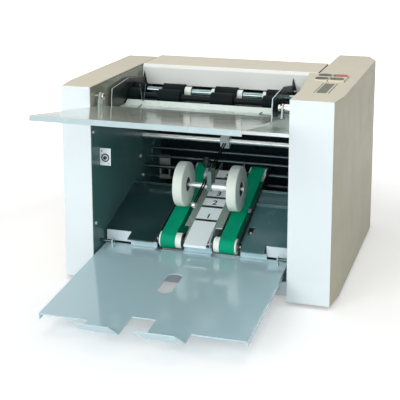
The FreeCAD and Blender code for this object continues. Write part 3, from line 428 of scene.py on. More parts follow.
def belt_material():
    """Green fabric-faced belt: a fine diagonal weave, with tone patches and smudges."""
    material, tree, shader = start_material("belt_weave", Specular_IOR_Level=0.12)
    hand = use_group(tree, HANDLING, {
        "Colour": srgb(0, 160, 122), "Patch Colour": srgb(0, 144, 108), "Patch Amount": 0.6,
        "Patch Size": 22.0, "Grain Scale": 1500.0, "Rough Low": 0.55, "Rough High": 0.75,
    })
    coords = object_coords(tree)
    heights = []
    for turn in (0.8, -0.8):
        mapping = tree.nodes.new("ShaderNodeMapping")
        mapping.inputs["Rotation"].default_value = (0.32, 0, turn)
        tree.links.new(coords, mapping.inputs["Vector"])
        wave = tree.nodes.new("ShaderNodeTexWave")
        wave.inputs["Scale"].default_value = 420.0
        tree.links.new(mapping.outputs["Vector"], wave.inputs["Vector"])
        heights.append(wave.outputs["Fac"])
    weave = maths(tree, "MULTIPLY", *heights)
    wear_skin(tree, shader, hand.outputs["Colour"], hand)
    add_bump(tree, shader, weave, 0.25, WEAVE_DEPTH)
    return material


def display_material():
    """Grey-green liquid crystal window behind a clear face."""
    material, tree, shader = start_material("display_glass", Specular_IOR_Level=0.2)
    hand = use_group(tree, HANDLING, {
        "Colour": srgb(112, 119, 97), "Patch Colour": srgb(92, 98, 80), "Patch Amount": 0.6,
        "Patch Size": 40.0, "Rough Low": 0.3, "Rough High": 0.4,
    })
    wear_skin(tree, shader, hand.outputs["Colour"], hand)
    return material


BELT = belt_material()
DISPLAY = display_material()

# ---- dressing the solid pieces --------------------------------------------------------------
BEVEL_ANGLE = 32.0
ROUNDED_ANGLE = 40.0
MERGE_DISTANCE = 0.00001
FLAT_ANGLE = 0.6
# Shells whose rims run round an opening keep their triangles.
OPEN_SHELLS = ("left_side_cover", "right_side_cover")
# Lid: its pivot, the slope that it has when open, the slope that it is drawn at, the height
# from the pivot below which a point belongs to the edge of the lip, and how far that is raised.
LID_PIVOT = (0, 32, 332)
LID_SLOPE = 7.9
LID_DRAWN_SLOPE = 8.65
LID_EDGE = -0.0265
LID_EDGE_UP = 0.001
# Tray: its pins, its fall, the limits in front of and above which a point belongs to the top of
# a lip, and how far that top is moved. Limits and moves of both are in metres.
TRAY_PIN = (0, 32, 63)
TRAY_FALL = 4.8
TRAY_LIP_FRONT = -0.2905
TRAY_LIP_TOP = -0.0080
TRAY_LIP_MOVE = (-0.011, -0.0052, 0.0065)


def body_of(node):
    return nodes[node]["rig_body"]


def settle(obj, body):
    """Hand a finished piece, standing at the origin, to its body."""
    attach(obj, body)
    return obj


def mesh_object(name, data):
    obj = bpy.data.objects.new(name, data)
    bpy.context.scene.collection.objects.link(obj)
    return obj


def mesh_from(work, name):
    """Mesh made from a finished bmesh."""
    mesh = bpy.data.meshes.new(name)
    work.to_mesh(mesh)
    work.free()
    return mesh


def plain_copy(obj, name):
    """Apply the live modifiers and return a plain mesh."""
    bpy.context.view_layer.update()
    graph = bpy.context.evaluated_depsgraph_get()
    mesh = bpy.data.meshes.new_from_object(obj.evaluated_get(graph), depsgraph=graph)
    mesh.name = name
    return mesh


def apply_modifiers(obj):
    mesh = plain_copy(obj, obj.name)
    obj.modifiers.clear()
    obj.data = mesh


def smooth_faces(mesh, angle=BEVEL_ANGLE):
    mesh.shade_smooth()
    mesh.set_sharp_from_angle(angle=math.radians(angle))


def break_edges(obj, width):
    """Break the sharp edges with a bevel and keep the flats flat; no width, no bevel."""
    if width <= 0:
        smooth_faces(obj.data)
        return
    bevel = obj.modifiers.new("edge_break", "BEVEL")
    bevel.width = width * MM
    bevel.segments = 2
    bevel.limit_method = "ANGLE"
    bevel.angle_limit = math.radians(BEVEL_ANGLE)
    bevel.harden_normals = False
    bevel.use_clamp_overlap = True
    apply_modifiers(obj)
    smooth_faces(obj.data, ROUNDED_ANGLE)
    weighted = obj.modifiers.new("weighted", "WEIGHTED_NORMAL")
    weighted.keep_sharp = True
    apply_modifiers(obj)


def raise_lid(mesh):
    """Open lid a touch steeper than its stop, on a slightly shorter front lip."""
    pivot = spot(*LID_PIVOT)
    level = Matrix.Rotation(math.radians(LID_SLOPE), 4, "X")
    raised = Matrix.Rotation(math.radians(-LID_DRAWN_SLOPE), 4, "X")
    for vert in mesh.vertices:
        flat = level @ (vert.co - pivot)
        if flat.z < LID_EDGE:
            flat.z += LID_EDGE_UP
        vert.co = pivot + raised @ flat


def stretch_lips(mesh):
    """Front lips of the tray: taller than the solid's and cut on the slant."""
    pin = spot(*TRAY_PIN)
    fold = Matrix.Rotation(math.radians(TRAY_FALL), 4, "X")
    level = fold.inverted()
    for vert in mesh.vertices:
        flat = level @ (vert.co - pin)
        if flat.y < TRAY_LIP_FRONT and flat.z > TRAY_LIP_TOP:
            flat += Vector(TRAY_LIP_MOVE)
            vert.co = pin + fold @ flat


RESHAPE = {"flip_lid": raise_lid, "delivery_tray": stretch_lips}


def dress(node, finishes, edge, sorter=None):
    """Piece with broken edges that stands for a solid node; a sorter picks each face's finish."""
    mesh = nodes[node].data.copy()
    if node in RESHAPE:
        RESHAPE[node](mesh)
    work = bmesh.new()
    work.from_mesh(mesh)
    bmesh.ops.remove_doubles(work, verts=work.verts, dist=MERGE_DISTANCE)
    if node not in OPEN_SHELLS:
        limit = math.radians(FLAT_ANGLE)
        bmesh.ops.dissolve_limit(work, angle_limit=limit, verts=work.verts, edges=work.edges)
    work.to_mesh(mesh)
    work.free()
    mesh.materials.clear()
    obj = mesh_object(node + "_finished", mesh)
    break_edges(obj, edge)
    for material in finishes:
        obj.data.materials.append(material)
    if sorter:
        for face in obj.data.polygons:
            face.material_index = sorter(face)
    settle(obj, body_of(node))
    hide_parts(node)


# Limits that part the faces of a piece. First, how much of a normal lies along an axis.
COVER_TURN = 0.8
LIP_TURN = 0.6
TOP_TURN = 0.7
PLATE_TURN = 0.9
# Places and radii, in millimetres.
DISPLAY_X, DISPLAY_REACH = 207.5, 8.6
BELTS_LEFT, BELTS_RIGHT, WING_LEFT = -77.5, 69.4, 16.8
RAIL_TIP_Y = 54.6
HANGER_X, HANGER_TOP = -9.7, 185.2
REAR_ROLLER, COLLAR_R = (0, 200, 314), 7.2
REAR_SHAFT, AXLE_R = (0, 268, 141.8), 4.5
FLOOR_RAIL_Y = 208.0


def off_axis(face, axis):
    """Distance of a face from a line that runs across the machine."""
    middle = spot(*axis)
    return math.hypot(face.center.y - middle.y, face.center.z - middle.z)


def lit_front_or_shaded_side(face):
    """Covers: front faces in a cooler pale white as painted light, beige body, right faces darker
    as painted shade.
    """
    if face.normal.y < -COVER_TURN:
        return 0
    return 2 if face.normal.x > COVER_TURN else 1


def lip_or_sheet(face):
    """The front edge of a folded sheet differs from its top: the shelf's edge carries a painted
    highlight, the tops of shelf and lid carry painted reflections.
    """
    return int(face.normal.y < -LIP_TURN)


# Front face of the top cover takes its whiter painted light finish.
def lit_face_or_top(face):
    return int(face.normal.y < -TOP_TURN)


# Roller brackets: the face takes the painted shade, the rims a pale painted highlight.
def shaded_face_or_lit_rim(face):
    return int(abs(face.normal.x) <= PLATE_TURN)


def glass_or_trim(face):
    return int(abs(face.center.x - spot(DISPLAY_X, 0, 0).x) >= DISPLAY_REACH * MM)


def deck_or_outer(face):
    """Plates outside the belts are black, the right wing is pale and the rest is grey-green."""
    x = face.center.x
    if x < spot(BELTS_LEFT, 0, 0).x or x > spot(BELTS_RIGHT, 0, 0).x:
        return 1
    return 2 if x > spot(WING_LEFT, 0, 0).x else 0


def rail_or_tip(face):
    """Bright end piece on the lower end of the arm rails."""
    return int(face.center.y < spot(0, RAIL_TIP_Y, 0).y)


def slider_or_hanger(face):
    """Painted plate that hangs the axle below the slider."""
    corner = spot(HANGER_X, 0, HANGER_TOP)
    return int(face.center.x > corner.x and face.center.z < corner.z)


def shaft_or_collar(face):
    """Collars stand proud of the roller shaft."""
    return int(off_axis(face, REAR_ROLLER) > COLLAR_R * MM)


def hub_or_axle(face):
    """Thin axle beside the wide belt hubs."""
    return int(off_axis(face, REAR_SHAFT) < AXLE_R * MM)


def sheet_or_rail(face):
    """Bright round rail along the upper end of a chute floor."""
    return int(face.center.y > spot(0, FLOOR_RAIL_Y, 0).y)


# Finishes, width of the broken edge in millimetres and, where needed, a sorter.
DRESS = {
    "left_side_cover": ([COVER_FRONT_LIT, COVER_BODY, COVER_SIDE_SHADE], 1.6, lit_front_or_shaded_side),
    "right_side_cover": ([COVER_FRONT_LIT, COVER_BODY, COVER_SIDE_SHADE], 1.2, lit_front_or_shaded_side),
    "top_cover": ([TOP_PAINT, FACE_LIT_PAINT], 0.8, lit_face_or_top),
    "rear_cover": ([COVER_BODY], 0.4),
    "left_side_frame": ([FRAME_SHADE_PAINT], 0.3),
    "right_side_frame": ([FRAME_SHADE_PAINT], 0.3),
    "base_pan": ([PALE_LACQUER], 0.4),
    "feet": ([RUBBER], 0.8),
    "power_inlet": ([BLACK_PLASTIC], 0.3),
    "switch_housing": ([BLACK_PLASTIC], 0.3),
    "power_switch": ([BLACK_PLASTIC], 0.4),
    "control_board": ([BOARD], 0.2),
    "cross_shelf": ([SHELF_REFLECTION_LACQUER, SHELF_LIP_HIGHLIGHT], 0.4, lip_or_sheet),
    "left_roller_bracket": ([BRACKET_SHADE_PAINT, PALE_LACQUER], 0.3, shaded_face_or_lit_rim),
    "right_roller_bracket": ([BRACKET_SHADE_PAINT, PALE_LACQUER], 0.3, shaded_face_or_lit_rim),
    "upper_fold_plate": ([DARK_SHADE_PLATE], 0.4),
    "lower_fold_plate": ([DARK_SHADE_PLATE], 0.4),
    "separator_pad": ([DARK_SHADE_PLATE], 0.4),
    "feed_table": ([PALE_LACQUER], 0.4),
    "left_side_guide": ([ZINC], 0.5),
    "right_side_guide": ([ZINC], 0.5),
    "left_chute_floor": ([FLOOR_SHADE_PAINT, RAIL_PAINT], 0.4, sheet_or_rail),
    "right_chute_floor": ([RIGHT_FLOOR_SHADE_PAINT, RAIL_PAINT], 0.4, sheet_or_rail),
    "corner_brackets": ([PALE_LACQUER], 0.4),
    "front_sill": ([LACQUER], 0.4),
    "tray_pins": ([DULL_SHADE_STEEL], 0.5),
    "lid_pivots": ([STEEL], 0.5),
    "conveyor_deck": ([CHUTE_SIDE, BLACK_PLASTIC, PALE_SIDE], 0.4, deck_or_outer),
    "cross_bars": ([DULL_SHADE_STEEL], 0.4),
    "stacker_shaft": ([TUBE_STEEL], 0.5),
    "arm_clamp": ([PALE_LACQUER], 0.8),
    "arm_rails": ([DARK_STEEL, STEEL], 0.5, rail_or_tip),
    "wheel_carriage": ([ZINC, CARRIAGE_PAINT], 0.7, slider_or_hanger),
    "wheel_axle": ([TUBE_STEEL], 0.5),
    "wall_screws": ([TUBE_STEEL], 0.5),
    "drive_motor": ([MOTOR_PAINT], 1.0),
    "front_belt_shaft": ([STEEL], 0.4),
    "rear_belt_rollers": ([HUB, DULL_SHADE_STEEL], 0.5, hub_or_axle),
    "front_belt_pulleys": ([HUB], 0.6),
    "rear_fold_roller_shaft": ([SHAFT_STEEL, HUB], 0.4, shaft_or_collar),
    "front_fold_roller_shaft": ([SHAFT_BLACK], 0.4),
    "rear_fold_roller_rubber": ([RUBBER], 0.8),
    "front_fold_roller_rubber": ([RUBBER], 0.8),
    "lower_fold_roller": ([RUBBER], 0.6),
    "feed_roller": ([RUBBER], 0.6),
    "left_delivery_belt": ([BELT], 0.3),
    "right_delivery_belt": ([BELT], 0.3),
    "dark_key_rear": ([COVER_BODY], 1.0),
    "dark_key_front": ([COVER_BODY], 1.0),
    "red_stop_key": ([COVER_BODY], 1.0),
    "green_start_key": ([COVER_BODY], 1.0),
    "display_window": ([DISPLAY, KEY_DARK], 0.2, glass_or_trim),
    "number_strip": ([LABEL], 0.1),
    "strip_marks": ([PRINT], 0.0),
    "flip_lid": ([LID_REFLECTION_LACQUER, LIP_LACQUER], 0.5, lip_or_sheet),
    "delivery_tray": ([LACQUER], 0.5),
}
for dressed_node, finish in DRESS.items():
    dress(dressed_node, *finish)

# ---- mesh helpers for the finer pieces ------------------------------------------------------
WIRE_R = 0.9


def settle_new(name, mesh, material, body, edge=0.0):
    """New piece: broken edges, material, body."""
    obj = mesh_object(name, mesh)
    break_edges(obj, edge)
    obj.data.materials.clear()
    obj.data.materials.append(material)
    return settle(obj, body)


def turned(name, outline, middle, axis, steps):
    """Mesh turned from (along, radius) pairs about an axis through the middle point."""
    work = bmesh.new()
    rings = []
    for along, radius in outline:
        ring = []
        for step in range(steps):
            angle = 2 * math.pi * step / steps
            local = (along, radius * math.cos(angle), radius * math.sin(angle))
            if axis == "z":
                local = (local[1], local[2], local[0])
            elif axis == "y":
                local = (local[2], local[0], local[1])
            ring.append(work.verts.new(Vector(local) * MM + middle))
        rings.append(ring)
    for first, second in zip(rings, rings[1:]):
        for step in range(steps):
            ahead = (step + 1) % steps
            work.faces.new((first[step], first[ahead], second[ahead], second[step]))
    work.faces.new(rings[0])
    work.faces.new(rings[-1][::-1])
    bmesh.ops.recalc_face_normals(work, faces=work.faces)
    return mesh_from(work, name)


def slab(name, low, high):
    """Box between two points given in millimetres."""
    work = bmesh.new()
    bmesh.ops.create_cube(work, size=1.0)
    start = spot(*low)
    size = spot(*high) - start
    for vert in work.verts:
        vert.co = Vector(start[k] + (vert.co[k] + 0.5) * size[k] for k in range(3))
    return mesh_from(work, name)


def sheet_outline(name, points, thickness):
    """Flat sheet: corner points in millimetres, thickened along the sheet's own normal."""
    work = bmesh.new()
    verts = [work.verts.new(spot(*point)) for point in points]
    face = work.faces.new(verts)
    face.normal_update()
    shift = face.normal * thickness * MM
    grown = bmesh.ops.extrude_face_region(work, geom=[face])
    lifted = [item for item in grown["geom"] if isinstance(item, bmesh.types.BMVert)]
    bmesh.ops.translate(work, verts=lifted, vec=shift)
    bmesh.ops.recalc_face_normals(work, faces=work.faces)
    return mesh_from(work, name)


def mesh_of_curve(name, curve):
    holder = mesh_object(name + "_curve", curve)
    mesh = plain_copy(holder, name)
    bpy.data.objects.remove(holder)
    return mesh


def wire(name, points):
    """Bent steel wire through points given in millimetres."""
    curve = bpy.data.curves.new(name, "CURVE")
    curve.dimensions = "3D"
    curve.bevel_depth = WIRE_R * MM
    curve.bevel_resolution = 3
    curve.use_fill_caps = True
    spline = curve.splines.new("NURBS")
    spline.points.add(len(points) - 1)
    for place, point in zip(spline.points, points):
        place.co = (*spot(*point), 1.0)
    spline.order_u = 3
    spline.use_endpoint_u = True
    settle_new(name, mesh_of_curve(name, curve), DULL_SHADE_STEEL, "machine")


# ---- repeated pieces, made with geometry nodes ----------------------------------------------


def repeat_tree(name, inputs):
    """Node tree that repeats a template; its settings come in beside the points."""
    tree = bpy.data.node_groups.new(name, "GeometryNodeTree")
    tree.interface.new_socket("Geometry", in_out="INPUT", socket_type="NodeSocketGeometry")
    for label, kind, value in inputs:
        socket = tree.interface.new_socket(label, in_out="INPUT", socket_type=kind)
        socket.default_value = value
    tree.interface.new_socket("Material", in_out="INPUT", socket_type="NodeSocketMaterial")
    tree.interface.new_socket("Geometry", in_out="OUTPUT", socket_type="NodeSocketGeometry")
    return tree, tree.nodes.new("NodeGroupInput"), tree.nodes.new("NodeGroupOutput")


def set_on_points(tree, points, template):
    node = tree.nodes.new("GeometryNodeInstanceOnPoints")
    tree.links.new(points, node.inputs["Points"])
    tree.links.new(template, node.inputs["Instance"])
    return node


def finish_tree(tree, given, result, copies):
    """Turn the copies into real geometry with the given material."""
    solid = tree.nodes.new("GeometryNodeRealizeInstances")
    paint = tree.nodes.new("GeometryNodeSetMaterial")
    tree.links.new(copies.outputs["Instances"], solid.inputs[0])
    tree.links.new(solid.outputs[0], paint.inputs["Geometry"])
    tree.links.new(given.outputs["Material"], paint.inputs["Material"])
    tree.links.new(paint.outputs[0], result.inputs[0])
    return tree


def cylinder_node(tree, given, radius, depth, sides):
    node = tree.nodes.new("GeometryNodeMeshCylinder")
    node.inputs["Vertices"].default_value = sides
    tree.links.new(given.outputs[radius], node.inputs["Radius"])
    tree.links.new(given.outputs[depth], node.inputs["Depth"])
    return node.outputs["Mesh"]


def cube_node(tree, size):
    node = tree.nodes.new("GeometryNodeMeshCube")
    feed(tree, size, node.inputs["Size"])
    return node.outputs["Mesh"]


def moved(tree, part, **settings):
    """Part moved, turned or scaled."""
    node = tree.nodes.new("GeometryNodeTransform")
    tree.links.new(part, node.inputs["Geometry"])
    for label, value in settings.items():
        node.inputs[label].default_value = value
    return node.outputs["Geometry"]


CROSS_LONG, CROSS_SHORT, CROSS_DEEP = 0.0034, 0.0008, 0.0016
CROWN_FLATNESS = (0.98, 0.98, 0.42)
CROWN_UP = (0, 0, 0.0007)
CROSS_UP = (0, 0, 0.0018)


def screw_tree():
    """Pan-head screw with a cross recess on each point."""
    tree, given, result = repeat_tree("screw_rows", [
        ("Head Radius", NUMBER, 0.003),
        ("Head Height", NUMBER, 0.0016),
        ("Turn", VECTOR, (0, 0, 0)),
    ])
    head = cylinder_node(tree, given, "Head Radius", "Head Height", 24)
    ball = tree.nodes.new("GeometryNodeMeshUVSphere")
    ball.inputs["Segments"].default_value = 24
    ball.inputs["Rings"].default_value = 12
    tree.links.new(given.outputs["Head Radius"], ball.inputs["Radius"])
    crown = moved(tree, ball.outputs["Mesh"], Scale=CROWN_FLATNESS, Translation=CROWN_UP)
    whole = tree.nodes.new("GeometryNodeJoinGeometry")
    for part in (crown, head):
        tree.links.new(part, whole.inputs[0])
    recess = tree.nodes.new("GeometryNodeMeshBoolean")
    recess.operation = "DIFFERENCE"
    tree.links.new(whole.outputs[0], recess.inputs["Mesh 1"])
    for arms in ((CROSS_LONG, CROSS_SHORT), (CROSS_SHORT, CROSS_LONG)):
        bar = moved(tree, cube_node(tree, (*arms, CROSS_DEEP)), Translation=CROSS_UP)
        tree.links.new(bar, recess.inputs["Mesh 2"])
    copies = set_on_points(tree, given.outputs["Geometry"], recess.outputs["Mesh"])
    turn = tree.nodes.new("FunctionNodeEulerToRotation")
    tree.links.new(given.outputs["Turn"], turn.inputs[0])
    tree.links.new(turn.outputs[0], copies.inputs["Rotation"])
    return finish_tree(tree, given, result, copies)


def disc_tree():
    """Round disc on every point, lying square to the x axis."""
    tree, given, result = repeat_tree("shaft_discs", [
        ("Radius", NUMBER, 0.008),
        ("Thickness", NUMBER, 0.001),
    ])
    disc = cylinder_node(tree, given, "Radius", "Thickness", 48)
    lying = moved(tree, disc, Rotation=(0, math.pi / 2, 0))
    copies = set_on_points(tree, given.outputs["Geometry"], lying)
    return finish_tree(tree, given, result, copies)


def knurl_tree():
    """Ribs standing round a knob: a circle of points, each with one upright rib."""
    tree, given, result = repeat_tree("knob_ribs", [
        ("Count", "NodeSocketInt", 28),
        ("Radius", NUMBER, 0.0085),
        ("Rib Size", VECTOR, (0.0009, 0.0009, 0.0095)),
    ])
    circle = tree.nodes.new("GeometryNodeMeshCircle")
    tree.links.new(given.outputs["Count"], circle.inputs["Vertices"])
    tree.links.new(given.outputs["Radius"], circle.inputs["Radius"])
    rib = cube_node(tree, given.outputs["Rib Size"])
    copies = set_on_points(tree, circle.outputs["Mesh"], rib)
    align = tree.nodes.new("FunctionNodeAlignEulerToVector")
    place = tree.nodes.new("GeometryNodeInputPosition")
    tree.links.new(place.outputs[0], align.inputs["Vector"])
    tree.links.new(align.outputs[0], copies.inputs["Rotation"])
    return finish_tree(tree, given, result, copies)


SCREW_TREE = screw_tree()
DISC_TREE = disc_tree()
KNURL_TREE = knurl_tree()


def grow(name, tree, points, values, material, body, place=None):
    """Run a node tree on a mesh of points and keep its result as a plain piece."""
    mesh = bpy.data.meshes.new(name + "_points")
    mesh.from_pydata([tuple(point) for point in points], [], [])
    obj = mesh_object(name, mesh)
    modifier = obj.modifiers.new(name, "NODES")
    modifier.node_group = tree
    inputs = [item for item in tree.interface.items_tree if item.in_out == "INPUT"]
    sockets = {item.name: item.identifier for item in inputs}
    for label, value in values.items():
        modifier[sockets[label]] = value
    modifier[sockets["Material"]] = material
    apply_modifiers(obj)
    if place is not None:
        obj.data.transform(place)
    smooth_faces(obj.data)
    return settle(obj, body)


SCREW_R = 3.0
SCREW_SHARE = 0.5
FACE_RIGHT = (0, math.pi / 2, 0)
FACE_FRONT = (math.pi / 2, 0, 0)
FACE_BACK = (-math.pi / 2, 0, 0)


def screws(name, points, turn, material=ZINC, radius=SCREW_R):
    """Screws whose heads are half as high as their radius."""
    return grow(name, SCREW_TREE, [spot(*point) for point in points], {
        "Head Radius": radius * MM, "Head Height": radius * SCREW_SHARE * MM, "Turn": turn,
    }, material, "machine")


# ---- stacker wheels, rods and knob ----------------------------------------------------------
BELT_SLOPE = math.radians(18.3)
BELT_RISE = math.tan(BELT_SLOPE)
WHEEL = (124.0, 154.9)
WHEEL_W = 19.0
WHEEL_R = 42.0
HUB_DEPTH = 5.0
ARM_AXIS = (-14.0, 256.0, 208.5)
ARM_TURN = Matrix.Rotation(BELT_SLOPE, 4, "X")
BALL_R = 5.6
BALL_ALONG = 216.5
KNOB_ALONG = 122.0
KNOB_FOOT = 21.4
RIB_UP = 7.3


def stacker_wheel(node, middle_x):
    """Wheel with a crowned tread, a shallow recess on its left and a sunk hub on its right."""
    half = WHEEL_W / 2
    hub = half - HUB_DEPTH
    outline = [
        (-half + 1.2, 3.6), (-half + 1.2, 12.0), (-half + 0.3, 13.0), (-half, 14.0),
        (-half, WHEEL_R - 2.2), (-half + 0.7, WHEEL_R - 0.7), (-half + 2.2, WHEEL_R - 0.1),
        (0, WHEEL_R), (half - 2.2, WHEEL_R - 0.1), (half - 0.7, WHEEL_R - 0.7),
        (half, WHEEL_R - 2.2), (half, 14.6), (half - 0.6, 13.8), (hub, 13.4), (hub, 3.6),
    ]
    mesh = turned(node, outline, spot(middle_x, *WHEEL), "x", 96)
    piece = settle_new(node + "_turned", mesh, HUB, body_of(node))
    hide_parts(node)
    bearing = [
        (hub, 3.3), (hub, 13.2), (half - 1.4, 13.2), (half - 1.0, 12.6), (half - 1.0, 5.2),
        (half - 3.0, 4.4), (half - 3.0, 3.3),
    ]
    ring = turned(node + "_bearing", bearing, spot(middle_x, *WHEEL), "x", 48)
    settle_new(node + "_bearing", ring, BLACK_PLASTIC, body_of(node))


stacker_wheel("left_stacker_wheel", -57.0)
stacker_wheel("right_stacker_wheel", 45.0)
NUT = [(0.0, 3.1), (0.0, 4.4), (0.6, 5.0), (4.6, 5.0), (5.4, 4.2), (5.4, 3.1)]
for side, start in (("left", -72.0), ("right", 55.2)):
    nut = turned(side + "_axle_nut", NUT, spot(start, *WHEEL), "x", 40)
    settle_new(side + "_axle_nut", nut, TUBE_STEEL, "carriage")


def on_arm(along, up):
    """Frame of a point on the arm: its distance down from the stacker shaft, and above it."""
    x, y, z = ARM_AXIS
    y -= along * math.cos(BELT_SLOPE) + up * math.sin(BELT_SLOPE)
    z -= along * math.sin(BELT_SLOPE) - up * math.cos(BELT_SLOPE)
    return Matrix.Translation(spot(x, y, z)) @ ARM_TURN


ANGLES = [math.radians(degrees) for degrees in range(-88, 89, 8)]
BALL = [(BALL_R * math.sin(angle), BALL_R * math.cos(angle)) for angle in ANGLES]
ball_mesh = turned("arm_ball", BALL, Vector(), "y", 40)
ball_mesh.transform(on_arm(BALL_ALONG, 0))
settle_new("arm_ball", ball_mesh, STEEL, "arm")


def clamp_knob():
    """Tall domed knob with a knurled skirt."""
    outline = [
        (0.0, 2.6), (0.0, 6.4), (0.5, 6.9), (14.0, 6.9), (15.6, 6.4), (16.7, 4.9), (17.1, 3.0),
        (17.0, 0.4),
    ]
    mesh = turned("clamp_knob_turned", outline, Vector(), "z", 56)
    mesh.transform(on_arm(KNOB_ALONG, KNOB_FOOT))
    piece = settle_new("clamp_knob_turned", mesh, KNOB_BLACK, "knob")
    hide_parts("clamp_knob")
    ribs = {"Count": 26, "Radius": 6.8 * MM, "Rib Size": (0.0008, 0.0008, 0.0125)}
    place = on_arm(KNOB_ALONG, KNOB_FOOT + RIB_UP)
    grow("clamp_knob_ribs", KNURL_TREE, [(0, 0, 0)], ribs, KNOB_BLACK, "knob",
         place)


clamp_knob()

# ---- number strip ---------------------------------------------------------------------------
BELT_TOP = 69.2
STRIP_DROP = 2.2
PRINT_UP = 0.12
DIGIT_X = -3.5
DIGIT_SIZE = 19.0


def strip_digit(text, depth):
    """Printed numeral lying on the strip."""
    name = "strip_numeral_" + text
    curve = bpy.data.curves.new(name, "FONT")
    curve.body = text
    curve.size = DIGIT_SIZE * MM
    curve.align_x = "CENTER"
    curve.align_y = "CENTER"
    curve.offset = 0.0004
    curve.extrude = 0.00006
    mesh = mesh_of_curve(name, curve)
    height = BELT_TOP + BELT_RISE * depth - STRIP_DROP + PRINT_UP
    mesh.transform(Matrix.Translation(spot(DIGIT_X, depth, height)) @ ARM_TURN)
    settle_new(name, mesh, PRINT, "machine")


for text, depth in (("1", 106.5), ("2", 147.0), ("3", 175.0), ("4", 203.0), ("5", 232.0)):
    strip_digit(text, depth)

# ---- keypad and latch -----------------------------------------------------------------------
KEY_TOP = 357.0
PAD_T = 0.7
PAD_STEPS = 48
PAD_POWER = 0.7
PANEL_TOP = 354.0


def key_pad(node, left, right, front, back, finish, split):
    """Oval membrane pad on a key cap; left of the split it is dark."""
    middle = ((left + right) / 2, (front + back) / 2)
    reach = ((right - left) / 2, (back - front) / 2)
    outline = []
    for step in range(PAD_STEPS):
        angle = 2 * math.pi * step / PAD_STEPS
        cosine, sine = math.cos(angle), math.sin(angle)
        outline.append((
            middle[0] + reach[0] * math.copysign(abs(cosine) ** PAD_POWER, cosine),
            middle[1] + reach[1] * math.copysign(abs(sine) ** PAD_POWER, sine),
            KEY_TOP,
        ))
    mesh = sheet_outline(node + "_pad", outline, PAD_T)
    border = spot(split, 0, 0)
    work = bmesh.new()
    work.from_mesh(mesh)
    everything = work.verts[:] + work.edges[:] + work.faces[:]
    bmesh.ops.bisect_plane(work, geom=everything, plane_co=border, plane_no=(1, 0, 0))
    work.to_mesh(mesh)
    work.free()
    obj = mesh_object(node + "_pad", mesh)
    smooth_faces(mesh)
    for material in (finish, KEY_DARK):
        mesh.materials.append(material)
    for face in mesh.polygons:
        face.material_index = int(face.center.x < border.x)
    settle(obj, body_of(node))


key_pad("dark_key_rear", 174.2, 197.2, 210.5, 232.5, KEY_DARK, 190.0)
key_pad("dark_key_front", 174.2, 197.2, 177.5, 199.5, KEY_DARK, 190.0)
key_pad("red_stop_key", 201.0, 227.8, 210.5, 233.0, KEY_RED, 206.0)
key_pad("green_start_key", 201.0, 226.0, 177.5, 199.5, KEY_GREEN, 212.0)
for side, start in (("left", 196.4), ("right", 216.3)):
    corners = (start, 69, PANEL_TOP - 0.1), (start + 2.2, 157, PANEL_TOP + 0.4)
    inlay = slab(side + "_display_inlay", *corners)
    settle_new(side + "_display_inlay", inlay, TOP_PAINT, "machine")


def latch_plate():
    """Small plate standing out from the left wall, with a round boss in a raised ring."""
    body, slot = body_of("latch_plate"), SLOTS["latch_plate"]
    mesh = slab("latch_plate_finished", (-188, 38, 203), (-167, 40, 235))
    plate = settle_new("latch_plate_finished", mesh, LATCH_PAINT, body, 0.5)
    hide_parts("latch_plate")
    middle = spot(-177.3, 38.2, 217.6)
    rim = [(0.2, 7.8), (-1.2, 7.8), (-1.8, 7.2), (-1.8, 6.2), (-1.2, 5.6), (0.2, 5.6)]
    boss = [(0.2, 0.2), (0.2, 3.2), (-2.6, 3.2), (-3.2, 2.4), (-3.4, 0.2)]
    for name, outline, finish in (
        ("latch_ring", rim, DULL_SHADE_STEEL), ("latch_boss", boss, DARK_STEEL),
    ):
        settle_new(name, turned(name, outline, middle, "y", 48), finish, body)


latch_plate()

# ---- small trim of the bay ------------------------------------------------------------------
# Black discs beside the front belt hubs: painted shadow in the gaps next to the hubs.
HUB_SHADOW_RINGS = [spot(x, 52, 70.4) for x in (-33.1, 24.3)]
HUB_SHADOW_SIZE = {"Radius": 14.4 * MM, "Thickness": 2.4 * MM}
grow("belt_hub_shadow_rings", DISC_TREE, HUB_SHADOW_RINGS, HUB_SHADOW_SIZE, BLACK_PLASTIC, "front_pulleys")
# Lining of the upper left wall, in the darkened cover paint that stands for its shade.
lining = slab("upper_wall_lining", (-188, 3, 297), (-187.4, 340, 351))
settle_new("upper_wall_lining", lining, LINING_SHADE, "machine", 0.15)
CATCHES = {
    "left": [(-187, 253.6, 314), (-175.5, 253.6, 314), (-181.5, 253.6, 341)],
    "right": [(116, 253.6, 318), (126.5, 253.6, 318), (119, 253.6, 343)],
}
for side, corners in CATCHES.items():
    catch = sheet_outline(side + "_cover_catch", corners, 1.2)
    settle_new(side + "_cover_catch", catch, BRACKET_SHADE_PAINT, "machine", 0.2)
# Rear fold of the shelf, in the shelf's painted reflection lacquer.
FOLD = [(-178, 138, 296.1), (118, 138, 296.1), (118, 152, 303.5), (-178, 152, 303.5)]
rear_fold = sheet_outline("shelf_rear_fold", FOLD, -0.9)
settle_new("shelf_rear_fold", rear_fold, SHELF_REFLECTION_LACQUER, "machine", 0.2)
wire("bay_wire", [
    (-152.0, 150, 334), (-149.6, 150, 316), (-147.4, 150, 299.2), (-146.2, 146, 297.3),
    (-144, 132, 297.2), (-141, 104, 297.2), (-146, 90, 297.2), (-156, 84, 297.2),
    (-172, 96, 297.2), (-178, 112, 297.2),
])
wire("bay_wire_upright", [
    (-140.4, 150, 334.1), (-143, 150, 314), (-145.4, 150, 299), (-146.2, 146, 297.4),
])
wire("bay_wire_right", [
    (112, 152, 297.2), (96, 150, 297.2), (86, 140, 297.2), (84, 128, 297.2), (96, 118, 297.2),
    (112, 118, 297.2),
])


def rectangle(low, high):
    return [(low.x, low.z), (high.x, low.z), (high.x, high.z), (low.x, high.z)]


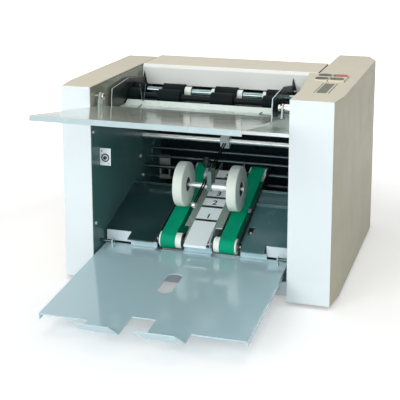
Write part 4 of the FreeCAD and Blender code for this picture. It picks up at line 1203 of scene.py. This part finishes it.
def sensor_frame():
    """Small window plate clipped to two of the cross bars."""
    work = bmesh.new()
    low, high = spot(-166, 292.4, 109), spot(-143, 293.6, 160)
    outer = rectangle(low, high)
    inner = rectangle(spot(-162.5, 0, 118), spot(-146.5, 0, 139))
    front, back = [
        [[work.verts.new((x, depth, z)) for x, z in loop] for loop in (outer, inner)]
        for depth in (low.y, high.y)
    ]
    for step in range(4):
        ahead = (step + 1) % 4
        work.faces.new((front[0][step], front[0][ahead], front[1][ahead], front[1][step]))
        work.faces.new((back[0][step], back[1][step], back[1][ahead], back[0][ahead]))
        work.faces.new((front[0][step], back[0][step], back[0][ahead], front[0][ahead]))
        work.faces.new((front[1][step], front[1][ahead], back[1][ahead], back[1][step]))
    bmesh.ops.recalc_face_normals(work, faces=work.faces)
    mesh = mesh_from(work, "sensor_frame")
    settle_new("sensor_frame", mesh, CHUTE_SIDE, "machine", 0.3)


sensor_frame()
# Disc on the left wall, in the frame's darkened paint that stands for shade.
DISC = [(0, 1.0), (0, 26.5), (0.8, 28.0), (2.6, 28.0), (3.2, 27.2), (3.2, 1.0)]
wall_disc = turned("left_wall_disc", DISC, spot(-187.9, 330, 158), "x", 64)
settle_new("left_wall_disc", wall_disc, FRAME_SHADE_PAINT, "machine")

# ---- fasteners ------------------------------------------------------------------------------
FLOOR_SLOPE = math.radians(17.4)
REAR_Y = 442.4
PAN_Y = 19.2
COVER_Y = 475.2
REAR_GRID = [(x, REAR_Y, z) for x in (-180, 160) for z in (16, 150, 290)]
screws("floor_slot_screw", [(82.0, 90.0, 83.6)], (FLOOR_SLOPE, 0, 0), STEEL)
screws("rear_cover_screws", REAR_GRID, FACE_BACK)
screws("motor_screws", [(174.4, y, z) for y in (90, 150) for z in (30, 90)], FACE_RIGHT)
screws("latch_screws", [(-184, 37.6, 230), (-171, 37.6, 207)], FACE_FRONT, radius=1.6)
screws("pan_screws", [(x, PAN_Y, 16) for x in (-170, -60, 60, 150)], FACE_FRONT)
screws("left_cover_screws", [(-218, COVER_Y, z) for z in (20, 280)], FACE_BACK)
screws("right_cover_screws", [(208, COVER_Y, z) for z in (20, 335)], FACE_BACK)

# ---- floor, light and camera ----------------------------------------------------------------
FLOOR_REACH = 6.0
# The floor glows from near the machine, where it is dim enough to show a shadow, outwards.
GLOW_REACH = (0.55, 1.3)
GLOW = (0.32, 1.0)
# The world as mirrored in gloss: level of the horizon and of the sky, and its plain light.
SKY_RISE = (0.0, 0.5)
SKY = (0.42, 1.0)
WORLD_LIGHT = 0.3
CAMERA_AT = (0.5145, -1.6769, 0.6966)
CAMERA_YAW = math.radians(17.374)
CAMERA_PITCH = math.radians(11.372)
# Each lamp: place, point that it aims at, size and watts.
LAMPS = {
    "key_light": ((-1.3, -2.6, 1.5), (0, -0.1, 0.15), 1.6, 33),
    "low_front_light": ((0.1, -3.0, 0.4), (0, 0, 0.22), 1.2, 17),
    "front_fill": ((0.62, -1.85, 1.0), (0, -0.05, 0.15), 0.8, 9),
    "top_light": ((0.0, 0.3, 2.6), (0, 0, 0.2), 1.8, 17),
}


def studio_floor():
    work = bmesh.new()
    bmesh.ops.create_grid(work, x_segments=1, y_segments=1, size=FLOOR_REACH)
    obj = mesh_object("studio_floor", mesh_from(work, "studio_floor"))
    material, tree, shader = start_material("floor_white", Roughness=0.9)
    shader.inputs["Base Color"].default_value = (0.9, 0.9, 0.9, 1)
    shader.inputs["Emission Color"].default_value = (1, 1, 1, 1)
    path = tree.nodes.new("ShaderNodeLightPath")
    seen = maths(tree, "MAXIMUM", path.outputs["Is Camera Ray"], path.outputs["Is Glossy Ray"])
    reach = tree.nodes.new("ShaderNodeVectorMath")
    reach.operation = "LENGTH"
    tree.links.new(object_coords(tree), reach.inputs[0])
    glow = spread(tree, reach.outputs["Value"], *GLOW_REACH, *GLOW)
    tree.links.new(maths(tree, "MULTIPLY", seen, glow), shader.inputs["Emission Strength"])
    obj.data.materials.append(material)


def studio_world():
    world = bpy.data.worlds.new("studio")
    world.use_nodes = True
    tree = world.node_tree
    sky = tree.nodes["Background"]
    sky.inputs["Color"].default_value = (1.0, 1.0, 1.0, 1)
    path = tree.nodes.new("ShaderNodeLightPath")
    axes = tree.nodes.new("ShaderNodeSeparateXYZ")
    tree.links.new(tree.nodes.new("ShaderNodeTexCoord").outputs["Generated"], axes.inputs[0])
    mirrored = spread(tree, axes.outputs["Z"], *SKY_RISE, *SKY)
    soft = maths(tree, "MULTIPLY", path.outputs["Is Glossy Ray"], mirrored)
    seen = maths(tree, "MAXIMUM", path.outputs["Is Camera Ray"], soft)
    tree.links.new(maths(tree, "MAXIMUM", seen, WORLD_LIGHT), sky.inputs["Strength"])
    bpy.context.scene.world = world


def aimed(name, data, place, ahead):
    """Lamp or camera at a place, looking ahead."""
    obj = mesh_object(name, data)
    obj.location = place
    obj.rotation_mode = "QUATERNION"
    obj.rotation_quaternion = ahead.to_track_quat("-Z", "Y")
    return obj


def lamp(name, place, aim, size, watts):
    data = bpy.data.lights.new(name, "AREA")
    data.size = size
    data.energy = watts
    aimed(name, data, place, Vector(aim) - Vector(place))


def studio_camera():
    data = bpy.data.cameras.new("studio_camera")
    data.sensor_width = 36.0
    data.lens = 89.84
    data.shift_x = -0.012
    data.shift_y = -0.272
    level = math.cos(CAMERA_PITCH)
    ahead = Vector((
        -math.sin(CAMERA_YAW) * level, math.cos(CAMERA_YAW) * level, -math.sin(CAMERA_PITCH)
    ))
    bpy.context.scene.camera = aimed("studio_camera", data, CAMERA_AT, ahead)


studio_floor()
studio_world()
for lamp_name, setting in LAMPS.items():
    lamp(lamp_name, *setting)
studio_camera()
bpy.context.scene.view_settings.view_transform = "Standard"
